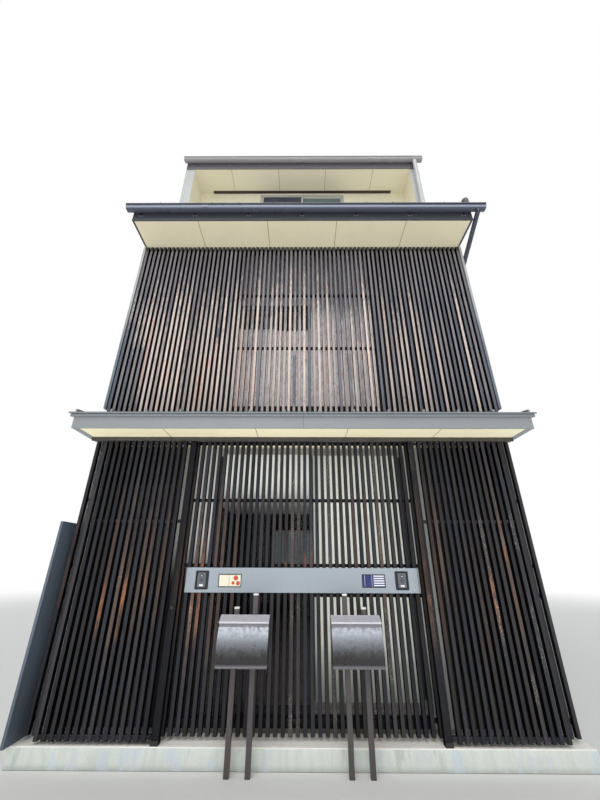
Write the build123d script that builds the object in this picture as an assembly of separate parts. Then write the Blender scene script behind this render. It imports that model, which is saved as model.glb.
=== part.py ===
"""A narrow three-storey townhouse with timber lattices, as separate pieces.

Millimetres, +Z up, the street on the -Y side. The origin is the centre of the foundation's underside.
"""
import os

from build123d import *

# Driving sizes
HOUSE_WIDTH = 4450
HOUSE_DEPTH = 7600
PLINTH_HEIGHT = 140
SIDE_WALL = 160
FRONT_WALL = 120
PLINTH_SIDE_STEP = 15
HALF_WIDTH = HOUSE_WIDTH / 2
ROOM_HALF_WIDTH = HALF_WIDTH - SIDE_WALL

# Depths, counted back from the plinth's street face
STREET_Y = -HOUSE_DEPTH / 2
WALL_SETBACK = 350
TOP_WALL_SETBACK = 1327
LOWER_LATTICE_SETBACK = 95
UPPER_LATTICE_SETBACK = 125
WALL_Y = STREET_Y + WALL_SETBACK
TOP_WALL_Y = STREET_Y + TOP_WALL_SETBACK
REAR_Y = HOUSE_DEPTH / 2

# Heights above the ground
CANOPY_SOFFIT_Z = 2612
SECOND_FLOOR_Z = 2960
LOWER_SOFFIT_Z = 5483
THIRD_FLOOR_Z = 5840
UPPER_SOFFIT_Z = 8315
FLOOR_THICKNESS = 240

# Lattice slats and the rails behind them
SLAT_WIDTH = 33
SLAT_DEPTH = 40
SLAT_SPACING = 59.7
LATTICE_SIDE_INSET = 28
LATTICE_HALF_WIDTH = HALF_WIDTH - LATTICE_SIDE_INSET
SLAT_COUNT = round((2 * LATTICE_HALF_WIDTH - SLAT_WIDTH) / SLAT_SPACING) + 1
SLAT_PITCH = (2 * LATTICE_HALF_WIDTH - SLAT_WIDTH) / (SLAT_COUNT - 1)
RAIL_DEPTH = 30
LOWER_SLAT_BOTTOM = 168
LOWER_RAIL_HEIGHT = 30
LOWER_RAIL_HEIGHTS = (260, 1150, 1395, 1990)
HEAD_RAIL_HEIGHT = 40
UPPER_SLAT_BOTTOM = 2961
UPPER_FOOT_RAIL = (2982, 3042)
UPPER_MIDDLE_RAILS = ((3810, 3840), (4633, 4663))
UPPER_HEAD_RAIL = (5405, 5475)
CORNER_TRIM_OVERHANG = 18
CORNER_TRIM_WIDTH = 30
CORNER_TRIM_BOTTOM = 2998
END_PANEL_THICKNESS = 24
END_PANEL_SETBACK = -72
END_PANEL_TOP = 1765

# Sliding lattice doors
DOOR_SIDE_INSET = 127
DOOR_WIDTH = 970
DOOR_OUTER = LATTICE_HALF_WIDTH - DOOR_SIDE_INSET
DOOR_INNER = DOOR_OUTER - DOOR_WIDTH
DOOR_SETBACK = 15
DOOR_DEPTH = 46
DOOR_BOTTOM = 160
DOOR_TOP = 2578
DOOR_STILE = 60
DOOR_RAIL_INSET = 24
DOOR_MIDDLE_RAIL = (1765, 1795)
DOOR_HEAD_RAIL = (2545, 2570)
DOOR_FOOT_RAIL = (171, 202)
DOOR_FOOT_RAIL_INSET = 5
FOOT_RAIL_GROOVE = 5
FOOT_RAIL_GROOVE_Z = 189
DOOR_CLEARANCE = 5

# Door track, hangers, guides and locks
TRACK_BOTTOM = 2584
TRACK_WALL = 3
TRACK_WIDTH = 54
TRACK_SLOT = 16
RUNNING_GAP = 0.3
ROLLER_RADIUS = 9
ROLLER_OUTSIDE = 19
ROLLER_INSIDE = 10
AXLE_RADIUS = 4
HANGER_INSET = 160
HANGER_WIDTH = 60
HANGER_PLATE = 4
GUIDE_LENGTH = 60
GUIDE_WALL = 3
GUIDE_HEIGHT = 32
LOCK_RADIUS = 14
LOCK_DEPTH = 8
LOCK_Z = 1060

# Doorways behind the lattice doors
DOORWAY_WIDTH = 720
DOORWAY_TOP = 2240
DOORWAY_FRAME = 30

# Canopy over the ground floor
CANOPY_FASCIA_SETBACK = -290
CANOPY_FASCIA_TOP = 2729
CANOPY_SIDE_OVERHANG = 30
CANOPY_SOFFIT_INSET = 43
CANOPY_HALF_WIDTH = HALF_WIDTH + CANOPY_SIDE_OVERHANG
CANOPY_SOFFIT_HALF_WIDTH = HALF_WIDTH - CANOPY_SOFFIT_INSET
CANOPY_SLOPE = 0.2
CANOPY_DRIP_OVERHANG = 12
CANOPY_DRIP_SIDE = 36
CANOPY_DRIP_HEIGHT = 24
CANOPY_GROOVE = 5
CANOPY_HEM_OVERHANG = 24
CANOPY_HEM_SIDE = 53
CANOPY_HEM_HEIGHT = 15
VALANCE_SETBACK = -14
VALANCE_THICKNESS = 20
VALANCE_HEIGHT = 40

# Sheet roofs
ROOF_SLOPE = 0.3
DECK_THICKNESS = 95
SEAM_PITCH = 343
SEAM_HEIGHT = 26
SEAM_WIDTH = 12
SEAM_FOLD_WIDTH = 20
SEAM_FOLD_THICKNESS = 4
CANOPY_SEAM_EDGE_GAP = 50
ROOF_SEAM_EDGE_GAP = 100
RIDGE_CAP_HALF = 120
RIDGE_CAP_THICKNESS = 20

# Eaves
LOWER_FASCIA_SETBACK = -311
UPPER_FASCIA_SETBACK = 821
LOWER_EAVE_Z = 5660
UPPER_EAVE_Z = 8532
DRIP = 34
REAR_OVERHANG = TOP_WALL_SETBACK - UPPER_FASCIA_SETBACK
EAVE_SOFFIT_INSET = 26
EAVE_SOFFIT_HALF_WIDTH = HALF_WIDTH - EAVE_SOFFIT_INSET
RAKE_THICKNESS = 16
SOFFIT_THICKNESS = 12
SOFFIT_BOARD = 910
BOARD_JOINT = 4
BOARD_JOINT_DEPTH = 3
FASCIA_THICKNESS = 12
FASCIA_DROP = 4
FASCIA_TRIM_HEIGHT = 30
FASCIA_TRIM_PROUD = 4
VENT_SIDE_GAP = 259
VENT_DEPTH = 54
VENT_GAP = 6
VENT_THICKNESS = 10
CAP_RADIUS = 45
CAP_HEIGHT = 164
CAP_EDGE_GAP = 35
CAP_SETBACK = -280

# Gutters and downpipes. Gutter points are outward from the fascia and up from the gutter's top.
GUTTER_BACK_TOP = (0, -16)
GUTTER_BACK_FOOT = (0, -45)
GUTTER_BOTTOM = (58, -73)
GUTTER_FRONT_FOOT = (100, -48)
GUTTER_FRONT_TOP = (104, 0)
GUTTER_BACK_BEND = (25, -66)
GUTTER_FRONT_BEND = (86, -67)
GUTTER_LIP_RADIUS = 7
GUTTER_WALL = 3
GUTTER_COLLAR = 60
GUTTER_COLLAR_PROUD = 2
LOWER_GUTTER_OVERHANGS = (66, 156)
UPPER_GUTTER_OVERHANGS = (44, 77)
LOWER_GUTTER_TOP = 5668
UPPER_GUTTER_TOP = 8525
LOWER_COLLAR_X = -1256
UPPER_COLLAR_X = 1308
OUTLET_COLLAR = 210
PIPE_RADIUS = 30
UPPER_PIPE_RADIUS = 38
PIPE_SIDE_GAP = 10
LOWER_PIPE_DROP = 20
REAR_PIPE_DROP = 197
PIPE_FOOT_Z = 60
PIPE_FOOT_GAP = 20
LOWER_PIPE_ELBOW_Z = 5185
REAR_PIPE_ELBOW_Z = 7900
UPPER_PIPE_INSET = 68

# Windows
GROUND_WINDOW_PIERS = (410, 200)
GROUND_WINDOW_Z = (230, 2600)
SECOND_WINDOW_X = (-852, 120)
SECOND_WINDOW_Z = (4182, 4640)
TOP_WINDOW_HALF_WIDTH = 848
TOP_WINDOW_Z = (7125, 8300)
REAR_SILL_ABOVE_FLOOR = 950
FRAME_BAR = 26
FRAME_DEPTH = 70
FRAME_INSET = 15
SASH_BAR = 38
SASH_DEPTH = 28
SASH_GAP = 4
GLASS_THICKNESS = 6
BLIND_THICKNESS = 4

# Sign with two intercoms and two nameplates
SIGN_DOOR_GAP = 40
SIGN_HALF_WIDTH = DOOR_INNER - SIGN_DOOR_GAP
SIGN_Z = (1172, 1375)
SIGN_THICKNESS = 15
INTERCOM_FROM_END = 152
INTERCOM_SIZE = (115, 142)
INTERCOM_Z = 1273
PLATE_FROM_END = 404
PLATE_SIZE = (205, 103)
PLATE_Z = 1269
INSET_DEPTH = 10

# Mailboxes. Points are outward from the posts' face and up from the box's underside.
MAILBOX_X = 455.5
MAILBOX_SHIFT = -12.5
MAILBOX_WIDTH = 398
MAILBOX_BOTTOM = 674
MAILBOX_WALL = 3
MAILBOX_FRONT = -76
MAILBOX_BACK_TOP = 341
MAILBOX_FRONT_TOP = 302
MAILBOX_BELLY = (-126, 135)
MAILBOX_SHOULDER = (-78, 270)
MAILBOX_TOE = (-120, 20)
MAILBOX_FOOT = (-110, 0)
LID_HINGE = (-4.6, 345)
LID_BARREL = 4
LID_OVERHANG = 8
LID_GAP = 4
LID_DRIP = 10
LID_SIDE_OVERHANG = 4
POST_SIZE = 40
POST_SPACING = 155
POST_SETBACK = -100
OUTER_POST_TOP = 1064
INNER_POST_TOP = 1164
POST_CAP = 14


def y_at(setback):
    """The depth of a face that lies this far behind the plinth's street face."""
    return STREET_Y + setback


def block(x_span, y_span, z_span):
    """A square-edged piece between its low and high faces."""
    spans = (x_span, y_span, z_span)
    size = [high - low for low, high in spans]
    middle = [(high + low) / 2 for low, high in spans]
    return Pos(*middle) * Box(*size)


def both_sides(piece):
    """A piece with its mirror image across the house's middle."""
    return piece + mirror(piece, about=Plane.YZ)


def pane(x_span, z_span):
    """A rectangle in front view, or in side view with depths in place of widths."""
    size = [high - low for low, high in (x_span, z_span)]
    middle = [(high + low) / 2 for low, high in (x_span, z_span)]
    return Pos(*middle) * Rectangle(*size)


def pane_at(x, z, size):
    """A rectangle in front view by its middle."""
    return Pos(x, z) * Rectangle(*size)


def shrunk(span, amount):
    """A span drawn in at both ends."""
    return (span[0] + amount, span[1] - amount)


def elevation(sketch, y_span):
    """A front-view outline made solid between two depths."""
    front, back = y_span
    plane = Plane((0, back, 0), x_dir=(1, 0, 0), z_dir=(0, -1, 0))
    return extrude(plane * sketch, back - front)


def section(sketch, x_span):
    """A side-view outline of depth and height, run along the width."""
    low, high = x_span
    plane = Plane((low, 0, 0), x_dir=(0, 1, 0), z_dir=(1, 0, 0))
    return extrude(plane * sketch, high - low)


def outline(*points):
    """A closed outline through the points."""
    return make_face(Polyline(*points, close=True))


def across(half_width):
    """The span of a piece that is centred on the house."""
    return (-half_width, half_width)


# Foundation, party walls and floors
lower_face = y_at(LOWER_LATTICE_SETBACK)
upper_face = y_at(UPPER_LATTICE_SETBACK)
lower_wall_front = lower_face + SLAT_DEPTH + RAIL_DEPTH
upper_wall_front = upper_face + SLAT_DEPTH + RAIL_DEPTH
lower_fascia_y = y_at(LOWER_FASCIA_SETBACK)
upper_fascia_y = y_at(UPPER_FASCIA_SETBACK)
rear_fascia_y = REAR_Y + REAR_OVERHANG
wing_front = upper_fascia_y + FASCIA_THICKNESS
lower_eave_y = lower_fascia_y - DRIP
upper_eave_y = upper_fascia_y - DRIP
rear_eave_y = rear_fascia_y + DRIP
ridge_y = (upper_eave_y + rear_eave_y) / 2
ridge_bottom = UPPER_EAVE_Z + ROOF_SLOPE * (ridge_y - upper_eave_y)
wall_top = SECOND_FLOOR_Z - FLOOR_THICKNESS
room_x = across(ROOM_HALF_WIDTH)


def lower_underside(y):
    """The height of the lower roof deck's underside at a depth."""
    return LOWER_EAVE_Z + ROOF_SLOPE * (y - lower_eave_y)


def upper_underside(y):
    """The height of the upper roof deck's underside at a depth, on either side of the ridge."""
    return ridge_bottom - ROOF_SLOPE * abs(y - ridge_y)


def lower_top(y):
    return lower_underside(y) + DECK_THICKNESS


def upper_top(y):
    return upper_underside(y) + DECK_THICKNESS


parts = {}
plinth_x = across(HALF_WIDTH + PLINTH_SIDE_STEP)
parts["foundation"] = block(plinth_x, (STREET_Y, REAR_Y), (0, PLINTH_HEIGHT))
side_outline = outline(
    (lower_wall_front, PLINTH_HEIGHT),
    (REAR_Y, PLINTH_HEIGHT),
    (REAR_Y, upper_underside(REAR_Y)),
    (ridge_y, ridge_bottom),
    (wing_front, upper_underside(wing_front)),
    (wing_front, lower_underside(wing_front)),
    (upper_wall_front, lower_underside(upper_wall_front)),
    (upper_wall_front, wall_top),
    (lower_wall_front, wall_top),
)
parts["left_party_wall"] = section(side_outline, (-HALF_WIDTH, -ROOM_HALF_WIDTH))
parts["right_party_wall"] = section(side_outline, (ROOM_HALF_WIDTH, HALF_WIDTH))
parts["second_floor"] = block(room_x, (WALL_Y, REAR_Y), (wall_top, SECOND_FLOOR_Z))
parts["third_floor"] = block(room_x, (TOP_WALL_Y, REAR_Y), (THIRD_FLOOR_Z - FLOOR_THICKNESS, THIRD_FLOOR_Z))

# Front walls. The ground-floor wall is split beside and over the doorways.
doorway_inner = ROOM_HALF_WIDTH - DOORWAY_WIDTH
left_pier, right_pier = GROUND_WINDOW_PIERS
ground_window = ((left_pier - doorway_inner, doorway_inner - right_pier), GROUND_WINDOW_Z)
second_window = (SECOND_WINDOW_X, SECOND_WINDOW_Z)
top_window = (across(TOP_WINDOW_HALF_WIDTH), TOP_WINDOW_Z)
front_span = (WALL_Y, WALL_Y + FRONT_WALL)
top_span = (TOP_WALL_Y, TOP_WALL_Y + FRONT_WALL)
centre_wall = pane(across(doorway_inner), (PLINTH_HEIGHT, wall_top)) - pane(*ground_window)
parts["front_wall"] = elevation(centre_wall, front_span)
doorway_x = (-ROOM_HALF_WIDTH, -doorway_inner)
parts["door_lintels"] = both_sides(block(doorway_x, front_span, (DOORWAY_TOP, wall_top)))
doorway_hole = pane(shrunk(doorway_x, DOORWAY_FRAME), (PLINTH_HEIGHT, DOORWAY_TOP - DOORWAY_FRAME))
doorway_frame = pane(doorway_x, (PLINTH_HEIGHT, DOORWAY_TOP)) - doorway_hole
parts["doorway_frames"] = both_sides(elevation(doorway_frame, front_span))
second_wall = pane(room_x, (SECOND_FLOOR_Z, lower_underside(WALL_Y))) - pane(*second_window)
parts["second_floor_wall"] = elevation(second_wall, front_span)
third_wall = pane(room_x, (THIRD_FLOOR_Z, upper_underside(TOP_WALL_Y))) - pane(*top_window)
parts["third_floor_wall"] = elevation(third_wall, top_span)

# Rear walls, with the top floor's window repeated on each storey
rear_floors = (PLINTH_HEIGHT, SECOND_FLOOR_Z, THIRD_FLOOR_Z)
rear_tops = (wall_top, THIRD_FLOOR_Z - FLOOR_THICKNESS, upper_underside(REAR_Y))
rear_names = ("rear_ground_wall", "rear_second_wall", "rear_third_wall")
window_height = TOP_WINDOW_Z[1] - TOP_WINDOW_Z[0]
rear_windows = []
for name, floor, top in zip(rear_names, rear_floors, rear_tops):
    sill = floor + REAR_SILL_ABOVE_FLOOR
    window = (across(TOP_WINDOW_HALF_WIDTH), (sill, sill + window_height))
    rear_windows.append(window)
    parts[name] = elevation(pane(room_x, (floor, top)) - pane(*window), (REAR_Y - FRONT_WALL, REAR_Y))


def sash_spans(x_span):
    """The widths of a window's two sashes, which lap at the middle."""
    low, high = shrunk(x_span, FRAME_BAR)
    middle = (low + high) / 2
    return (low, middle + SASH_BAR / 2), (middle - SASH_BAR / 2, high)


def depth_span(y_wall, inward, start, thickness):
    """The depths of a layer behind a wall's outer face."""
    return tuple(sorted((y_wall + inward * start, y_wall + inward * (start + thickness))))


def window_frame(window, y_wall, inward):
    """A sliding window: an outer frame, and a left sash outside a right one."""
    x_span, z_span = window
    hole = pane(shrunk(x_span, FRAME_BAR), shrunk(z_span, FRAME_BAR))
    frame = elevation(pane(*window) - hole, depth_span(y_wall, inward, FRAME_INSET, FRAME_DEPTH))
    start = FRAME_INSET + SASH_GAP
    for sash_x in sash_spans(x_span):
        sash_z = shrunk(z_span, FRAME_BAR)
        ring = pane(sash_x, sash_z) - pane(shrunk(sash_x, SASH_BAR), shrunk(sash_z, SASH_BAR))
        frame = frame + elevation(ring, depth_span(y_wall, inward, start, SASH_DEPTH))
        start += SASH_DEPTH + SASH_GAP
    return frame


def window_glass(window, y_wall, inward):
    """The sheets in a window's two sashes."""
    x_span, z_span = window
    start = FRAME_INSET + SASH_GAP + (SASH_DEPTH - GLASS_THICKNESS) / 2
    sheets = []
    for sash_x in sash_spans(x_span):
        sheet = pane(shrunk(sash_x, SASH_BAR), shrunk(z_span, FRAME_BAR + SASH_BAR))
        sheets.append(elevation(sheet, depth_span(y_wall, inward, start, GLASS_THICKNESS)))
        start += SASH_DEPTH + SASH_GAP
    return Part() + sheets


front_windows = [(ground_window, WALL_Y, 1), (second_window, WALL_Y, 1), (top_window, TOP_WALL_Y, 1)]
back_windows = [(window, REAR_Y, -1) for window in rear_windows]
parts["front_window_frames"] = Part() + [window_frame(*window) for window in front_windows]
parts["front_window_glass"] = Part() + [window_glass(*window) for window in front_windows]
parts["rear_window_frames"] = Part() + [window_frame(*window) for window in back_windows]
parts["rear_window_glass"] = Part() + [window_glass(*window) for window in back_windows]
blind_x = (sum(ground_window[0]) / 2, ground_window[0][1] - FRAME_BAR)
blind_y = depth_span(WALL_Y, 1, FRAME_INSET + FRAME_DEPTH, BLIND_THICKNESS)
parts["window_blind"] = block(blind_x, blind_y, shrunk(GROUND_WINDOW_Z, FRAME_BAR / 2))


# Lattices
def slats(positions, y_front, depth, z_span):
    """A row of upright slats."""
    low, high = z_span
    plan = Sketch() + [Pos(x, y_front + depth / 2) * Rectangle(SLAT_WIDTH, depth) for x in positions]
    return extrude(Plane.XY.offset(low) * plan, high - low)


def fixed_lattice(positions, y_front, z_span, rails):
    """Slats with rails fused across their backs."""
    x_span = (positions[0] - SLAT_WIDTH / 2, positions[-1] + SLAT_WIDTH / 2)
    y_back = y_front + SLAT_DEPTH
    bars = [block(x_span, (y_back, y_back + RAIL_DEPTH), rail) for rail in rails]
    return slats(positions, y_front, SLAT_DEPTH, z_span) + bars


slat_positions = [SLAT_WIDTH / 2 - LATTICE_HALF_WIDTH + i * SLAT_PITCH for i in range(SLAT_COUNT)]
centre_positions = [x for x in slat_positions if abs(x) < DOOR_INNER + SLAT_PITCH / 2]
left_edge_positions = [x for x in slat_positions if x < -DOOR_OUTER - SLAT_WIDTH / 2]
lower_rails = [(z - LOWER_RAIL_HEIGHT / 2, z + LOWER_RAIL_HEIGHT / 2) for z in LOWER_RAIL_HEIGHTS]
lower_slat_z = (LOWER_SLAT_BOTTOM, CANOPY_SOFFIT_Z)
head_rail = (CANOPY_SOFFIT_Z - HEAD_RAIL_HEIGHT, CANOPY_SOFFIT_Z)
parts["centre_lattice"] = fixed_lattice(centre_positions, lower_face, lower_slat_z, lower_rails + [head_rail])
parts["edge_lattices"] = both_sides(fixed_lattice(left_edge_positions, lower_face, lower_slat_z, lower_rails))
upper_rails = [UPPER_FOOT_RAIL, *UPPER_MIDDLE_RAILS, UPPER_HEAD_RAIL]
upper_slat_z = (UPPER_SLAT_BOTTOM, LOWER_SOFFIT_Z)
parts["upper_lattice"] = fixed_lattice(slat_positions, upper_face, upper_slat_z, upper_rails)
trim_edge = -HALF_WIDTH - CORNER_TRIM_OVERHANG
trim_x = (trim_edge, trim_edge + CORNER_TRIM_WIDTH)
trim_z = (CORNER_TRIM_BOTTOM, LOWER_SOFFIT_Z)
parts["corner_trims"] = both_sides(block(trim_x, (upper_face, upper_wall_front), trim_z))
panel_x = (-HALF_WIDTH - END_PANEL_THICKNESS, -HALF_WIDTH)
panel_y = (y_at(END_PANEL_SETBACK), lower_wall_front)
parts["left_end_panel"] = block(panel_x, panel_y, (PLINTH_HEIGHT, END_PANEL_TOP))


# Sliding doors with their hangers, locks, track and guides
def lattice_door():
    """The left door: slats, an inner stile, and rails let into their backs."""
    y_front = y_at(DOOR_SETBACK)
    y_back = y_front + DOOR_DEPTH
    first = -DOOR_OUTER + SLAT_WIDTH / 2
    count = int((DOOR_WIDTH - DOOR_STILE - SLAT_WIDTH / 2) // SLAT_PITCH) + 1
    positions = [first + i * SLAT_PITCH for i in range(count)]
    door = slats(positions, y_front, DOOR_DEPTH, (DOOR_BOTTOM, DOOR_TOP))
    stile_x = (-DOOR_INNER - DOOR_STILE, -DOOR_INNER)
    stile = block(stile_x, (y_front, y_back), (DOOR_BOTTOM, DOOR_TOP))
    door_x = (-DOOR_OUTER, -DOOR_INNER)
    rail_y = (y_front + DOOR_RAIL_INSET, y_back)
    rails = [block(door_x, rail_y, rail) for rail in (DOOR_MIDDLE_RAIL, DOOR_HEAD_RAIL)]
    foot_front = y_front + DOOR_FOOT_RAIL_INSET
    foot = block(door_x, (foot_front, y_back), DOOR_FOOT_RAIL)
    groove_z = (FOOT_RAIL_GROOVE_Z - FOOT_RAIL_GROOVE / 2, FOOT_RAIL_GROOVE_Z + FOOT_RAIL_GROOVE / 2)
    foot = foot - block(door_x, (foot_front, foot_front + FOOT_RAIL_GROOVE), groove_z)
    return door + [stile, foot] + rails


def door_hangers(y_middle):
    """The left door's two hangers: a plate through the track's slot, an axle and a roller on each side."""
    axle_z = TRACK_BOTTOM + TRACK_WALL + ROLLER_RADIUS + RUNNING_GAP
    plate_y = (y_middle - HANGER_PLATE / 2, y_middle + HANGER_PLATE / 2)
    pieces = []
    for x in (-DOOR_OUTER + HANGER_INSET, -DOOR_INNER - HANGER_INSET):
        plate_x = (x - HANGER_WIDTH / 2, x + HANGER_WIDTH / 2)
        hanger = block(plate_x, plate_y, (DOOR_TOP, axle_z + ROLLER_RADIUS / 2))
        hanger = hanger + elevation(
            Pos(x, axle_z) * Circle(AXLE_RADIUS), (y_middle - ROLLER_OUTSIDE, y_middle + ROLLER_OUTSIDE)
        )
        for start, end in ((-ROLLER_OUTSIDE, -ROLLER_INSIDE), (ROLLER_INSIDE, ROLLER_OUTSIDE)):
            roller = Pos(x, axle_z) * Circle(ROLLER_RADIUS)
            hanger = hanger + elevation(roller, (y_middle + start, y_middle + end))
        pieces.append(hanger)
    return Part() + pieces


def track_section(y_middle):
    """A channel hung from the canopy's soffit, open along its underside."""
    z_span = (TRACK_BOTTOM, CANOPY_SOFFIT_Z)
    y_span = (y_middle - TRACK_WIDTH / 2, y_middle + TRACK_WIDTH / 2)
    slot_y = (y_middle - TRACK_SLOT / 2, y_middle + TRACK_SLOT / 2)
    slot = pane(slot_y, (TRACK_BOTTOM, TRACK_BOTTOM + TRACK_WALL))
    return pane(y_span, z_span) - pane(shrunk(y_span, TRACK_WALL), shrunk(z_span, TRACK_WALL)) - slot


def guide_section(y_middle):
    """A U-shaped guide on the plinth that the door's foot runs in."""
    half_gap = DOOR_DEPTH / 2 + DOOR_CLEARANCE
    outer_y = (y_middle - half_gap - GUIDE_WALL, y_middle + half_gap + GUIDE_WALL)
    guide_top = PLINTH_HEIGHT + GUIDE_HEIGHT
    guide = pane(outer_y, (PLINTH_HEIGHT, guide_top))
    return guide - pane(shrunk(outer_y, GUIDE_WALL), (PLINTH_HEIGHT + GUIDE_WALL, guide_top))


door_face = y_at(DOOR_SETBACK)
door_middle = door_face + DOOR_DEPTH / 2
left_door = lattice_door()
parts["left_lattice_door"] = left_door
parts["right_lattice_door"] = mirror(left_door, about=Plane.YZ)
lock = Pos(-DOOR_INNER - DOOR_STILE / 2, LOCK_Z) * Circle(LOCK_RADIUS)
left_fittings = door_hangers(door_middle) + elevation(lock, (door_face - LOCK_DEPTH, door_face))
parts["left_door_fittings"] = left_fittings
parts["right_door_fittings"] = mirror(left_fittings, about=Plane.YZ)
parts["door_track"] = section(track_section(door_middle), across(LATTICE_HALF_WIDTH))
guide_x = (-DOOR_INNER - GUIDE_LENGTH, -DOOR_INNER)
parts["door_guides"] = both_sides(section(guide_section(door_middle), guide_x))

# Canopy: soffit boards, fascia with closed ends, and a sheet roof with a drip and a folded hem
canopy_fascia_y = y_at(CANOPY_FASCIA_SETBACK)
canopy_soffit_y = canopy_fascia_y + FASCIA_THICKNESS
canopy_edge = CANOPY_HALF_WIDTH + CANOPY_HEM_SIDE
drip_top = CANOPY_FASCIA_TOP + CANOPY_DRIP_HEIGHT
drip_y = canopy_fascia_y - CANOPY_DRIP_OVERHANG
groove_y = drip_y + CANOPY_GROOVE
hem_bottom = drip_top + CANOPY_GROOVE
hem_y = canopy_fascia_y - CANOPY_HEM_OVERHANG


def canopy_underside(y):
    """The height of the canopy roof's underside at a depth."""
    return CANOPY_FASCIA_TOP + CANOPY_SLOPE * (y - canopy_fascia_y)


def sheet_underside(y):
    """The height of the canopy's top sheet at a depth."""
    return hem_bottom + CANOPY_SLOPE * (y - hem_y)


def canopy_top(y):
    return sheet_underside(y) + CANOPY_HEM_HEIGHT


def seams(y_span, height_at, half_width, edge_gap):
    """Standing seams along a roof slope, as a list of bars."""
    low, high = y_span
    per_side = int((half_width - edge_gap) / SEAM_PITCH + 1 / 2)
    rib = outline(
        (low, height_at(low)), (high, height_at(high)),
        (high, height_at(high) + SEAM_HEIGHT), (low, height_at(low) + SEAM_HEIGHT),
    )
    middles = [(i + 1 / 2) * SEAM_PITCH for i in range(-per_side, per_side)]
    return [section(rib, (x - SEAM_WIDTH / 2, x + SEAM_WIDTH / 2)) for x in middles]


def seam_folds(y_lip, z_span, half_width, edge_gap):
    """The tabs that the seams' ends are folded down into, over the roof's lip."""
    per_side = int((half_width - edge_gap) / SEAM_PITCH + 1 / 2)
    tab_y = (y_lip - SEAM_FOLD_THICKNESS, y_lip)
    middles = [(i + 1 / 2) * SEAM_PITCH for i in range(-per_side, per_side)]
    return [block((x - SEAM_FOLD_WIDTH / 2, x + SEAM_FOLD_WIDTH / 2), tab_y, z_span) for x in middles]


def board_joints(y_span, z_underside, half_width):
    """The open joints between soffit boards, to be cut from a soffit."""
    count = int(half_width / SOFFIT_BOARD + 1 / 2)
    z_span = (z_underside, z_underside + BOARD_JOINT_DEPTH)
    middles = [(i + 1 / 2) * SOFFIT_BOARD for i in range(-count, count)]
    return [block((x - BOARD_JOINT / 2, x + BOARD_JOINT / 2), y_span, z_span) for x in middles]


def soffit(x_span, y_span, z):
    """Soffit boards side by side under an eave."""
    boards = block(x_span, y_span, (z, z + SOFFIT_THICKNESS))
    return boards - board_joints(y_span, z, x_span[1])


canopy_body = outline(
    (drip_y, CANOPY_FASCIA_TOP), (canopy_fascia_y, CANOPY_FASCIA_TOP),
    (lower_wall_front, canopy_underside(lower_wall_front)),
    (lower_wall_front, sheet_underside(lower_wall_front)),
    (groove_y, sheet_underside(groove_y)), (groove_y, drip_top), (drip_y, drip_top),
)
canopy_sheet = outline(
    (hem_y, hem_bottom), (lower_wall_front, sheet_underside(lower_wall_front)),
    (lower_wall_front, canopy_top(lower_wall_front)), (hem_y, canopy_top(hem_y)),
)
canopy_back = outline(
    (lower_wall_front, canopy_underside(lower_wall_front)), (WALL_Y, canopy_underside(WALL_Y)),
    (WALL_Y, canopy_top(WALL_Y)), (lower_wall_front, canopy_top(lower_wall_front)),
)
canopy_seams = seams((hem_y, upper_face - DOOR_CLEARANCE), canopy_top, canopy_edge, CANOPY_SEAM_EDGE_GAP)
fold_z = (hem_bottom, canopy_top(hem_y) + SEAM_HEIGHT)
canopy_folds = seam_folds(hem_y, fold_z, canopy_edge, CANOPY_SEAM_EDGE_GAP)
canopy_roof = section(canopy_body, across(CANOPY_HALF_WIDTH + CANOPY_DRIP_SIDE))
canopy_roof = canopy_roof + section(canopy_sheet, across(canopy_edge)) + section(canopy_back, room_x)
parts["canopy_roof"] = canopy_roof + canopy_seams + canopy_folds
wide_soffit = soffit(across(CANOPY_SOFFIT_HALF_WIDTH), (canopy_soffit_y, lower_wall_front), CANOPY_SOFFIT_Z)
deep_soffit = soffit(room_x, (lower_wall_front, WALL_Y), CANOPY_SOFFIT_Z)
parts["canopy_soffit"] = wide_soffit + deep_soffit
fascia_z = (CANOPY_SOFFIT_Z - FASCIA_DROP, CANOPY_FASCIA_TOP)
front_board = block(across(CANOPY_HALF_WIDTH), (canopy_fascia_y, canopy_soffit_y), fascia_z)
side_x = (CANOPY_SOFFIT_HALF_WIDTH, CANOPY_HALF_WIDTH)
side_outline = outline(
    (canopy_soffit_y, CANOPY_SOFFIT_Z), (lower_wall_front, CANOPY_SOFFIT_Z),
    (lower_wall_front, canopy_underside(lower_wall_front)),
    (canopy_soffit_y, canopy_underside(canopy_soffit_y)),
)
side_board = section(side_outline, side_x)
parts["canopy_fascia"] = front_board + both_sides(side_board)
valance_y = (y_at(VALANCE_SETBACK), y_at(VALANCE_SETBACK) + VALANCE_THICKNESS)
valance_z = (CANOPY_SOFFIT_Z - VALANCE_HEIGHT, CANOPY_SOFFIT_Z)
parts["door_valance"] = block(across(LATTICE_HALF_WIDTH), valance_y, valance_z)

# Sign, intercoms and nameplates
sign = pane(across(SIGN_HALF_WIDTH), SIGN_Z)
intercom_panes = []
plate_panes = []
for side in (-1, 1):
    intercom_panes.append(pane_at(side * (SIGN_HALF_WIDTH - INTERCOM_FROM_END), INTERCOM_Z, INTERCOM_SIZE))
    plate_panes.append(pane_at(side * (SIGN_HALF_WIDTH - PLATE_FROM_END), PLATE_Z, PLATE_SIZE))
sign_y = (lower_face - SIGN_THICKNESS, lower_face)
parts["sign_panel"] = elevation(sign - intercom_panes - plate_panes, sign_y)
inset_span = (lower_face - INSET_DEPTH, lower_face)
parts["intercoms"] = Part() + [elevation(sketch, inset_span) for sketch in intercom_panes]
parts["nameplates"] = Part() + [elevation(sketch, inset_span) for sketch in plate_panes]

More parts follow.
